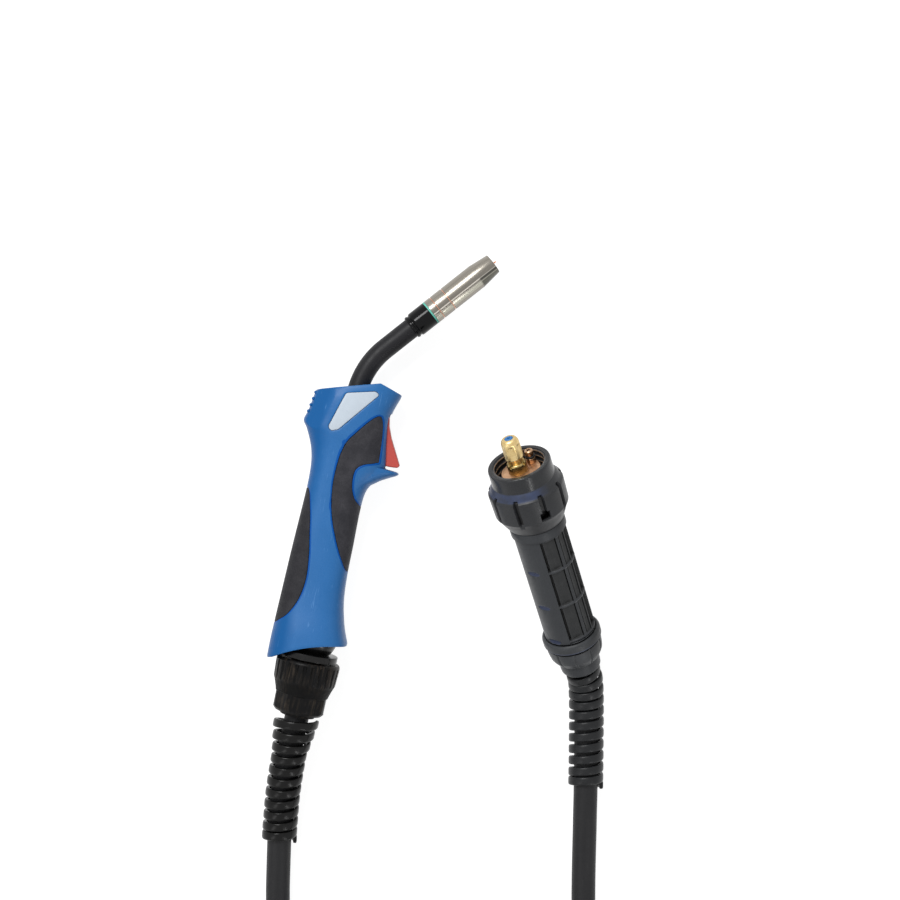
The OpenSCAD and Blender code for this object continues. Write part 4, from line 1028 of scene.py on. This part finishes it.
def tail_lining():
    """Inner face of the tail's opening."""
    wall = 2.6
    a = np.linspace(0, math.pi, 49)
    s = share_at(a)
    rows = []
    for u in np.linspace(0, 4.5, 16):
        row = row_at(np.array([u]))[0]
        x = (row[0] + wall) + (row[2] - row[0] - 2 * wall) * s
        y = y_at(np.full(len(s), u), s) + (0.3 if u == 0 else 0)
        rows.append(np.stack([x, y, (row[4] - wall) * np.abs(np.sin(a)) ** POWER], 1))
    shape = Shape().grid(rows, close=False)
    return np.array(shape.points), [tuple(f[::-1]) for f in shape.faces]


def thumb_ribs():
    """Upper halves of the four ribs on the back of the head."""
    s = Shape()
    r = 1.2
    profile = [(r, 0), (r, 9.4)]
    profile += [(r * math.cos(q), 9.3 + r * math.sin(q)) for q in np.radians([15, 35, 55, 75, 88])]
    for i in range(4):
        corner = (-GH - 6.1 - 0.75 * i, 187.5 - 4.6 * i, 0)
        s.grid([ring + corner for ring in rings(profile, ring_angles(20))])
    return np.array(s.points), [tuple(f) for f in s.faces]


def make_handle():
    blue = Shape()
    points, faces = blue_half()
    middle = np.array([np.mean(points[list(f)], 0) for f in faces])
    # The faces on the narrow rims round the grips take the darker blue of painted shade.
    rim = edge_share(flat_of(middle[:, 0], middle[:, 1])) & (middle[:, 2] > 0.5)
    for points, faces in ((points, faces), head_cap(), tail_lining(), thumb_ribs()):
        blue.add(points, faces)
    picks = np.zeros(len(blue.faces), int)
    picks[:len(rim)] = rim
    body = (np.array(blue.points), [tuple(f) for f in blue.faces])
    pieces = [
        ("handle", body, [BLUE, BLUE_EDGE_SHADE], "blue_plastic", 30, picks),
        ("front_grip", soft_half(FRONT_LOOP, 0.06, 0.0, 1.3), [GRIP], "grip_rubber", 35, None),
        ("rear_grip", soft_half(REAR_LOOP, 0.06, 0.0, 1.3), [GRIP_SHADED_REAR], "grip_rubber", 35, None),
        ("side_plate", soft_half(PLATE_LOOP, 0.08, -0.08, 1.5), [PALE], "pale_plastic", 35, None),
    ]
    for side in ("left", "right"):
        for name, mesh, finishes, slot, sharp, picks in pieces:
            points, faces = mirrored(*mesh) if side == "right" else mesh
            node = name + "_" + side
            add_piece(node + "_moulded", points, faces, TORCH, finishes, "torch", node, sharp,
                      picks)


make_handle()


# ---------------------------------------------------------------- trigger
TOE_Y = 146.3
TRIGGER = [
    (26.6, 181.4), (27.8, 175), (30.9, 167.3), (35.4, 159), (39.6, TOE_Y + 5), (40.6, TOE_Y + 3),
    (39.6, TOE_Y + 1.4), (36.6, TOE_Y + 1.1), (33, TOE_Y + 0.9), (21.6, TOE_Y + 1.5),
    (20.5, TOE_Y + 3.7), (20.5, 169), (17.2, 173), (17.2, 179.6), (19.4, 182),
]


def make_trigger():
    """The trigger: its front face is dished across and its edges are rounded."""
    line = evenly(rounded(TRIGGER, 1.6, 4), 0.7, closed=True)
    if area_of(line) < 0:
        line = line[::-1]
    half = 7.5
    rim = [(0, 1.0), (0, 0.55), (0.15, 0.25), (0.45, 0.06), (0.9, 0)]
    levels = [(-half + z, inset) for z, inset in rim] + [(-4, 0), (0, 0), (4, 0)]
    levels += [(half - z, inset) for z, inset in rim[::-1]]
    rows = []
    for z, inset in levels:
        ring = grown(line, -inset)
        dish = np.where(line[:, 0] > 25, 0.35 * (1 - (z / half) ** 2), 0)
        rows.append(np.stack([ring[:, 0] - dish, ring[:, 1], np.full(len(line), z)], 1))
    s = Shape().grid(rows)
    n = len(line)
    flat, tris = sheet(grown(line, -1.0), [(i, (i + 1) % n) for i in range(n)], 1, 1e-6)
    for z, order in ((-half, -1), (half, 1)):
        s.add([(x, y, z) for x, y in flat], tris[:, ::order])
    s.piece("trigger_moulded", TORCH, RED, "trigger", "trigger", "red_plastic", 40)


make_trigger()


# ---------------------------------------------------------------- neck and nozzle
def make_neck():
    """The neck's sleeve: a straight run, the bend and a short run into the insulator."""
    low, step, sides, wall = 148, 4, 48, 1.6
    front = NECK_STRAIGHT + 4
    ys = np.arange(low, NECK_Y, step)
    straight = np.stack([np.full(len(ys), NECK_X), ys, np.zeros(len(ys))], 1)
    bend = np.radians(np.linspace(0, NECK_BEND, 30))
    arc = np.stack([NECK_X + NECK_R * (1 - np.cos(bend)), NECK_Y + NECK_R * np.sin(bend), 0 * bend],
                   1)
    way = np.array([math.sin(bend[-1]), math.cos(bend[-1]), 0])
    out = arc[-1] + np.linspace(step, front, int(front / step))[:, None] * way
    line = np.vstack([straight, arc, out])
    up = np.array([0.0, 0, 1])
    side = unit(np.cross(up, unit(np.gradient(line, axis=0))))
    a = ring_angles(sides)[:, None]
    rows = [line[i] + r * (np.cos(a) * side[i] + np.sin(a) * up)
            for r, order in ((NECK_D / 2, 1), (NECK_D / 2 - wall, -1))
            for i in range(len(line))[::order]]
    Shape().grid(rows + rows[:1]).piece("neck_sleeve_skin", TORCH, SLEEVE, "torch", "neck_sleeve",
                                        "black_plastic")


def make_head():
    r = NOZZLE_D / 2
    tube = NECK_D / 2 - 1.65
    z = NECK_STRAIGHT
    turned("insulator_turned", HEAD, GLOSS, "torch", "insulator", "black_plastic", [
        (7.24, z), (r - 1, z), (r - 0.55, z + 0.8), (r - 0.4, z + 2), (r - 1, z + 2.4),
        (r - 1, z + 3.2), (r - 0.2, z + 3.8), (r, z + 4.8), (r, z + 16.8), (tube + 0.1, z + 16.8),
        (tube + 0.1, z + 4.1), (7.24, z + 4.1)], radius=0.45)
    z += 16.8
    turned("seal_ring_turned", HEAD, TEAL, "torch", "seal_ring", "teal_plastic", [
        (tube + 0.1, z), (r - 0.05, z), (r - 0.05, z + 1.2), (tube + 0.1, z + 1.2)], radius=0.2)
    z += 1.2
    end = z + NOZZLE_LEN
    mouth, wall, taper = 7.3, 1.3, end - 14.6
    turned("gas_nozzle_turned", HEAD, NOZZLE_METAL, "torch", "gas_nozzle", "nickel", [
        (7.2, z), (r, z), (r, z + 4.7), (r - 0.4, z + 4.9), (r - 0.4, z + 5.4), (r, z + 5.6),
        (r, z + 14.4), (r - 0.4, z + 14.6), (r - 0.4, z + 15.2), (r, z + 15.4), (r, taper),
        (mouth, end), (mouth - wall, end), (r - wall - 0.6, taper), (r - wall - 0.6, z + 3),
        (7.2, z + 3)], 120, 0.25)
    tip_z, tip_end = z + 23, end - 3
    turned("contact_tip_turned", HEAD, COPPER, "torch", "contact_tip", "copper", [
        (0.55, tip_z), (4, tip_z), (4, tip_end - 6), (2.5, tip_end), (0.55, tip_end)], 64)
    turned("wire_drawn", HEAD, COPPER, "torch", "welding_wire", "copper", [
        (0.01, tip_z + 1), (0.5, tip_z + 1), (0.5, end + 2.4), (0.01, end + 2.4)], 32, 0.12)


make_neck()
make_head()


# ---------------------------------------------------------------- swivel
def nearest(angle, count, offset=0.0):
    """The angle from the nearest of count directions spaced round a circle."""
    half = math.pi / count
    return ((angle + offset + half) % (2 * half)) - half


def make_swivel():
    ball_z, ball_r = 20, 17
    ball = [(ball_r * math.cos(a), ball_z + ball_r * math.sin(a))
            for a in np.radians(np.linspace(-40.3, 44.9, 26))]
    foot = [(8.9, -9), (12, -9), (12, 4.4), (19.5, 4.4), (19.5, 9), (12.97, 9)]
    turned("ball_stud_turned", SWIVEL, SWIVEL_GLOSS, "ball", "ball_stud", "swivel_plastic",
           foot + ball + [(8.9, 32)], radius=0.5)
    r, flute_r = 22.4, 1.3
    angle = ring_angles(312)
    outer = np.array([
        (21.4, 3.4), (21.9, 2.9), (22.3, 2.0), (22.4, 1.4), (22.4, 0.2), (22.36, -1.5), (22.3, -3),
        (22.1, -6), (21.95, -9), (21.85, -10.5), (21.7, -11.5), (21.4, -12.2), (21.0, -13.1),
        (20.3, -15), (19.6, -17), (18.9, -19.2), (18.7, -20), (18.67, -21), (18.62, -23),
        (18.55, -26), (18.45, -29), (18.4, -30.6), (18.3, -31.6), (17.6, -32.6), (16.9, -33.4),
        (16.4, -33.9)])
    across = (r + 0.3) * np.sin(nearest(angle, 24))
    flute = (r + 0.3) * np.cos(nearest(angle, 24)) - np.sqrt(np.maximum(0, flute_r**2 - across**2))
    flute = np.where(np.abs(across) < flute_r, flute, 99)
    flat = (r - 4.8) / np.cos(nearest(angle, 8))
    rows = []
    for z in levels_of(outer[:, 1], [1.3, 1.0, 0.8, -12.3, -12.6, -12.9, -20.4, -20.7, -21.1, -31.7,
                                     -32.0, -32.2])[::-1]:
        c = np.full(len(angle), np.interp(-z, -outer[:, 1], outer[:, 0]))
        share = fade(-z, -1.3, 0.5) * fade(z, -12.9, 0.6)
        c = np.where(flute < c, c + (flute - c) * share, c)
        share = fade(-z, 20.6, 0.5) * fade(z, -32.2, 0.5)
        c = np.where(flat < c, c + (flat - c) * share, c)
        rows.append(around(z, c, angle))
    rows += rings([(12.2, -33.9), (12.2, -36), (8.5, -36), (8.5, -10), (12.05, -10), (12.05, 3.4)],
                  angle)
    Shape().grid(rows + rows[:1]).piece("swivel_cup_moulded", SWIVEL, SWIVEL_BLACK, "cable_set",
                                        "swivel_cup", "swivel_plastic", 28)


make_swivel()


# ---------------------------------------------------------------- connector
def plug_piece(name, finish, node, slot, profile, sides, radius, place=PLUG, body="cable_set"):
    turned(name, place, finish, body, node, slot, profile, sides, radius)


def plug_skin(name, rows, finish, node, sharp, close=True, body="cable_set"):
    """A moulded piece of the connector, from rings that go round its wall."""
    shape = Shape().grid(rows + rows[:1], close)
    shape.piece(name, PLUG, finish, body, node, "plug_plastic", sharp)


def make_cap():
    profile = np.array([
        (13.6, 8), (14.3, 8.3), (15.2, 9.2), (16.6, 11), (17.6, 12.7), (18.4, 14.4), (18.8, 16.4),
        (19.1, 18.6), (19.3, 21), (19.3, 23.7), (18.5, 24.0), (18.5, 24.9), (20.1, 25.2),
        (20.5, 25.8), (20.5, 26.5), (20.5, 29.6), (20.4, 30.2), (20.1, 30.9), (19.8, 31.3),
        (19.5, 31.6), (19.2, 31.9), (18.6, 32)])
    angle = ring_angles(240)
    seam = np.clip(1 - np.abs(nearest(angle, 10, -0.12)) * 18 / 0.9, 0, 1)
    rows = []
    for z in np.unique(np.concatenate([np.linspace(8, 17, 14), profile[:, 1]])):
        depth = 0.9 * seam * fade(-z, -24.0, 0.8) * fade(z, 8.6, 1.2)
        rows.append(around(z, np.interp(z, profile[:, 1], profile[:, 0]) - depth, angle))
    rows += rings([(18.0, 31.6), (18.0, 29), (14.8, 28.6), (14.8, 13), (8.5, 13), (8.5, 8)], angle)
    plug_skin("plug_cap_moulded", rows, CAP_BLACK, "plug_cap", 28)


SHELL_LOW, SHELL_END = 32.4, 125.4
BAYS = [
    (-11, 0), (-10.5, 2.8), (-5.7, 2.8), (-5.2, 0.5), (-2, 0.75), (8, 1.15), (18, 1.05),
    (23.2, 0.85), (23.6, 2.4), (25.4, 2.4), (26, 0.45), (27, 0.3), (33.4, 0.3), (34, 0.5),
    (34.4, 2.2), (36, 2.2), (36.6, 0.9), (43, 1.15), (50.4, 0.95), (51, 2.4), (52.8, 2.4),
    (53.4, 0.4), (56.4, 0.3), (57.4, 2.2), (80, 2.2), (81.5, 0), (98, 0), (99, 1.5), (124, 1.5),
    (125, 0), (140, 0), (141, 1.5), (166, 1.5), (168, 0),
]


def shell_levels():
    base = [32.4, 32.9, 33.2, 40, 46, 55, 70, 77, 86, 99, 105, 111, 114, 116.2, 116.6, 117, 117.4,
            117.8, 118.5, 119.1, 121, 124.7, 125.1, 125.4]
    for z in RING_Z:
        base += [z + step for step in (-3, -1.9, -1.5, -1.2, -0.9, -0.5, 0, 0.5, 0.9, 1.2, 1.5, 1.9,
                                       2.4, 3.0, 3.8, 5.0)]
    return levels_of([z for z in base if SHELL_LOW <= z <= SHELL_END])


def shell_radius(z, degrees):
    """Radius of the connector's body, by the height and by the degrees right of the picture's
    middle: recessed bays between raised rings, and small notches."""
    skin_r = 17.8
    if z > COLLAR_Z:
        top = skin_r + 1.2 * min(1, (z - COLLAR_Z) / 0.6) - 0.4 * max(0, (z - 124.9) / 0.5)
        return np.full(len(degrees), top)
    gap = min(abs(z - c) for c in RING_Z)
    share = fade(min(gap - 0.75, COLLAR_Z - 1.2 - z, z - 32.6), 0, 0.6)
    above = min([z - c for c in RING_Z if z > c] or [99])
    scoop = np.clip(1 - ((degrees - 10) / 12) ** 2, 0, 1) ** 0.5
    scoop = 0.45 * scoop * np.clip(1 - (above - 1.6) / 3.0, 0, 1)
    pit = np.clip(1 - ((degrees + 48) / 17) ** 2 - (gap / 2.0) ** 2, 0, 1) ** 0.5
    crown = 0.25 * np.clip(1 - gap / 0.8, 0, 1) * fade(degrees, -8, 4) * (degrees < 82)
    bays = np.interp(degrees, [k[0] for k in BAYS], [k[1] for k in BAYS])
    return skin_r - (bays + scoop) * share - 0.9 * pit + crown


def make_shells():
    right = levels_of(np.arange(0, 60, 0.8), np.arange(60, 180, 2.5),
                      [23.2, 23.6, 25.4, 26, 34, 34.4, 36, 36.6, 50.4, 51, 52.8, 53.4, 57.4, 80,
                       81.5, 98, 99, 124, 125, 140, 141, 166, 168, 180])
    left = levels_of(np.arange(-180, -68, 3), np.arange(-66, -29, 1.5), np.arange(-28, -12, 2.5),
                     [-11, -10.5, -5.7, -5.2, -4, -2, 0])
    for node, degrees in (("plug_shell_left", left), ("plug_shell_right", right)):
        angle = np.radians(degrees - 90)
        rows = [around(z, shell_radius(z, degrees), angle) for z in shell_levels()]
        rows += rings([(13.2, SHELL_END), (13.2, 113), (14.8, 113), (14.8, SHELL_LOW)], angle)
        plug_skin(node + "_moulded", rows, BARREL_BLACK, node, 26, close=False)


NUT = np.array([
    (126, 19.1), (126.3, 19.3), (128, 20.2), (130, 21.2), (132, 22.2), (134, 23.1), (135.5, 23.9),
    (136.5, 24.5), (137.4, 25.0), (140, 25.1), (147, 25.3), (153, 25.45), (154, 25.35),
    (154.6, 24.9), (155, 24.3), (155.3, 23.95), (156, 23.6), (158, 22.5), (159.2, 21.7),
    (159.7, 21.3), (160.2, 21.12), (164, 21.1), (169.6, 21.1), (170.2, 21.0), (170.6, 20.85),
    (170.81, 20.6)])


def nut_radius(z, angle):
    """Radius of the coupling nut: nine lobes under a cone and a smooth rim."""
    lobe_r = 25.3
    near = (angle + math.pi / 2 + math.radians(6.5)) % (2 * math.pi / 9) - math.pi / 9
    window = (np.degrees(angle) + 90 - 13.5 + 180) % 360 - 180
    flute = 2.7 * fade(-np.abs(lobe_r * near), -1.7, 0.5) * fade(z, 134.2, 3.5)
    if z < 143.5:
        flute = flute * (np.abs(window) > 14)
    r = min(np.interp(z, NUT[:, 0], NUT[:, 1]), np.interp(z, [150, 155, 156], [25.5, 25.4, 30]))
    r = r - flute * fade(-z, -156.0, 0.8)
    pocket = fade(-np.abs(window * math.pi / 180 * 25), -3.5, 0.3)
    pocket = pocket * fade(-abs(z - 140.6), -3.0, 0.3)
    return np.minimum(r, 25.5 - 6.2 * pocket + 99 * (pocket == 0))


def make_nut():
    angle = ring_angles(378)
    levels = levels_of(
        [126, 126.3, 128, 130, 132, 134, 135.5, 136.5, 137.4, 137.6, 137.75, 137.9, 138.3, 140.5,
         142.8, 143.3, 143.45, 143.6, 147, 150, 152, 153], np.arange(153.5, 160.4, 0.7),
        [163, 164, 167, 169.6, 170.2, 170.6, 170.81])
    rows = [around(z, nut_radius(z, angle), angle) for z in levels]
    bore = [(20.5, 171), (20.2, 171), (18.0, 171), (17.8, 170.9), (17.8, 170)]
    for z in range(170, 150, -4):
        bore += [(17.7, z + 0.3), (16.85, z), (16.8, z - 0.15), (16.8, z - 0.5), (17.7, z - 1.4),
                 (17.8, z - 2.4)]
    bore += [(16.8, 150), (16.8, 132), (13.25, 132), (13.25, 126)]
    plug_skin("coupling_nut_moulded", rows + rings(bore, angle), NUT_BLACK, "coupling_nut", 28,
              body="coupling_nut")


def make_main_pin():
    """The main pin, with four small holes in its shoulder."""
    angle = ring_angles(160)
    shoulder, hole_at, hole_r = 7, 5.6, 1.15
    profile = [(4, -11), (4, -0.2), (6.45, 0), (6.5, 0.3), (6.5, 5.6), (6.42, 6.0), (6.3, 6.3),
               (6.1, 6.6), (5.9, 6.85)]
    profile += [(r, shoulder) for r in (5.7, 5.5, 5.3, 5.1, 4.9, 4.7, 4.5, 2.8)] + [(2.8, -11)]
    rows = []
    for r, z in profile:
        height = np.full(len(angle), float(z))
        if z > 5 and r > 3:
            for a in np.radians([45, 135, 225, 315]):
                gap = np.hypot(r * np.cos(angle) - hole_at * math.cos(a),
                               r * np.sin(angle) - hole_at * math.sin(a))
                height = height - 1.5 * fade(-gap, -hole_r, 0.2)
        rows.append(around(height, r, angle))
    Shape().grid(rows + rows[:1]).piece("main_pin_turned", PIN_PLACE, PIN_BRASS, "cable_set",
                                        "main_pin", "brass")


def make_liner_nut():
    """The liner's nut, with six flats."""
    angle = ring_angles(160)
    flat = 5.62 / np.cos(nearest(angle, 6, -math.radians(80)))
    rows = []
    for r, z in ((2.8, 7), (4.7, 7), (4.8, 7.3), (4.8, 8.6), (5.0, 9.2), (5.7, 10), (6.0, 10.4),
                 (6.1, 10.9), (6.1, 11.4), (6.1, 12), (6.1, 19.6), (6.1, 20.2), (6.1, 20.8),
                 (6.05, 21.6), (5.95, 22.4), (5.7, 23.2), (5.3, 24.0), (4.9, 24.5), (4.4, 24.85),
                 (3.9, 25.05), (3.4, 25.1), (2.9, 25.0), (2.8, 24.6)):
        share = fade(z, 11.2, 0.5) * fade(-z, -21.2, 0.8)
        rows.append(around(z, np.where(flat < r, r + (flat - r) * share, r), angle))
    Shape().grid(rows + rows[:1]).piece("liner_nut_turned", PIN_PLACE, BRASS, "cable_set",
                                        "liner_nut", "brass")


def make_pins():
    plug_piece("plug_block_turned", BRONZE, "plug_block", "copper_block", [
        (0.01, 105), (13.2, 105), (13.2, 132.3), (16.1, 132.3), (16.1, 135.9), (13.2, 135.9),
        (13.2, PIN_Z), (0.01, PIN_Z)], 96, 0.4)
    make_main_pin()
    make_liner_nut()
    plug_piece("plug_liner_tube", LINER, "plug_liner", "blue_liner", [
        (0.9, -8), (2.8, -8), (2.8, 24.9), (2.5, 25.2), (0.9, 25.2)], 64, 0.15, place=PIN_PLACE)
    plug_piece("gas_nipple_turned", COPPER_PLUG, "gas_nipple", "copper", [
        (1.1, -5), (1.8, -5), (1.8, 0), (3.2, 0), (3.2, 3.4), (2.0, 3.4), (2.0, 5.6), (2.9, 5.6),
        (2.9, 8.6), (2.4, 9.2), (1.1, 9.2)], 64, 0.25, place=NIPPLE_PLACE)
    plug_piece("gas_ring_moulded", RING, "gas_ring", "o_ring", [
        (2.8 + 0.8 * math.cos(a), 4.5 + 0.8 * math.sin(a)) for a in np.arange(16) * math.pi / 8],
        48, 0, place=NIPPLE_PLACE)
    plug_piece("plug_gland_moulded", PLUG_BLACK, "plug_gland", "plug_plastic", [
        (8.5, -0.4), (13.2, -0.4), (14.0, 0.8), (14.2, 3), (14.2, 10), (8.5, 10)], 96, 0.6)
    for x, y, node in ((-5, 8.8, "signal_pin_a"), (2.2, 9.8, "signal_pin_b")):
        plug_piece(node + "_turned", BRASS, node, "brass", [
            (0.01, -4.2), (1.2, -4.2), (1.2, 4.7), (0.8, 5), (0.01, 5)], 40, 0.2,
            place=PLUG @ shift(x, y, PIN_Z), body=node)


make_cap()
make_shells()
make_nut()
make_pins()


# ---------------------------------------------------------------- inner pieces kept from the CAD
KEPT = {
    "trigger_frame": BLACK, "trigger_pin": STEEL, "microswitch": BLACK, "switch_button": RED,
    "switch_leads": LEADS, "power_lead": COPPER, "torch_block": TORCH_BRASS, "neck_tube": COPPER,
    "neck_liner": STEEL, "nozzle_spring": STEEL, "tip_holder": TORCH_BRASS, "cable_end": JACKET,
    "plug_screws": DARK_STEEL, "signal_bushes": BLACK, "handle_screws": DARK_STEEL,
}
for name, finish in KEPT.items():
    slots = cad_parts[name].data.materials
    slots.clear()
    slots.append(finish)


# ---------------------------------------------------------------- floor and light
FLOOR_SEEN, FLOOR_UNSEEN, ROOM_SEEN, ROOM_UNSEEN = 0.9, 0.1, 1.0, 0.36
AIM = Vector((0.05, 0, 0.03))
LIGHTS = [  # name, place, size, power
    ("key", (-0.55, 0.9, 1.6), (0.9, 0.5), 25),
    ("front", (0.95, -1.3, 0.95), (0.12, 0.9), 3.8),
    ("left", (-1.1, -0.9, 1.3), (0.4, 0.9), 2.6),
]


def seen_share(tree, seen, unseen):
    """One value to camera, glossy and transmission rays, and another to every other ray."""
    path = tree.nodes.new("ShaderNodeLightPath").outputs
    share = path["Is Camera Ray"]
    for kind in ("Is Glossy Ray", "Is Transmission Ray"):
        share = add_node(tree, "ShaderNodeMath", {0: share, 1: path[kind]}, operation="MAXIMUM")
    return add_node(tree, "ShaderNodeMapRange",
                    {"Value": share, "To Min": unseen, "To Max": seen}, "Result")


def make_room():
    f = Finish("floor")
    f.done(f.mix(f.cloud(300, 2), (150, 150, 150), (156, 156, 156)), 0.9, spec=0.0,
           **{"Emission Color": srgb(255, 255, 255),
              "Emission Strength": seen_share(f.tree, FLOOR_SEEN, FLOOR_UNSEEN)})
    mesh = bpy.data.meshes.new("floor")
    mesh.from_pydata([(-4, -4, 0), (4, -4, 0), (4, 4, 0), (-4, 4, 0)], [], [(0, 1, 2, 3)])
    mesh.materials.append(f.mat)
    link(bpy.data.objects.new("floor", mesh))
    world = bpy.data.worlds.new("room")
    bpy.context.scene.world = world
    world.use_nodes = True
    background = world.node_tree.nodes["Background"].inputs
    background["Color"].default_value = (1, 1, 1, 1)
    share = seen_share(world.node_tree, ROOM_SEEN, ROOM_UNSEEN)
    put(world.node_tree, share, background["Strength"])
    for name, where, size, power in LIGHTS:
        data = bpy.data.lights.new(name, "AREA")
        data.shape = "RECTANGLE"
        data.size, data.size_y = size
        data.energy = power
        light = link(bpy.data.objects.new(name, data))
        light.location = where
        light.rotation_euler = (AIM - Vector(where)).to_track_quat("-Z", "Y").to_euler()


make_room()
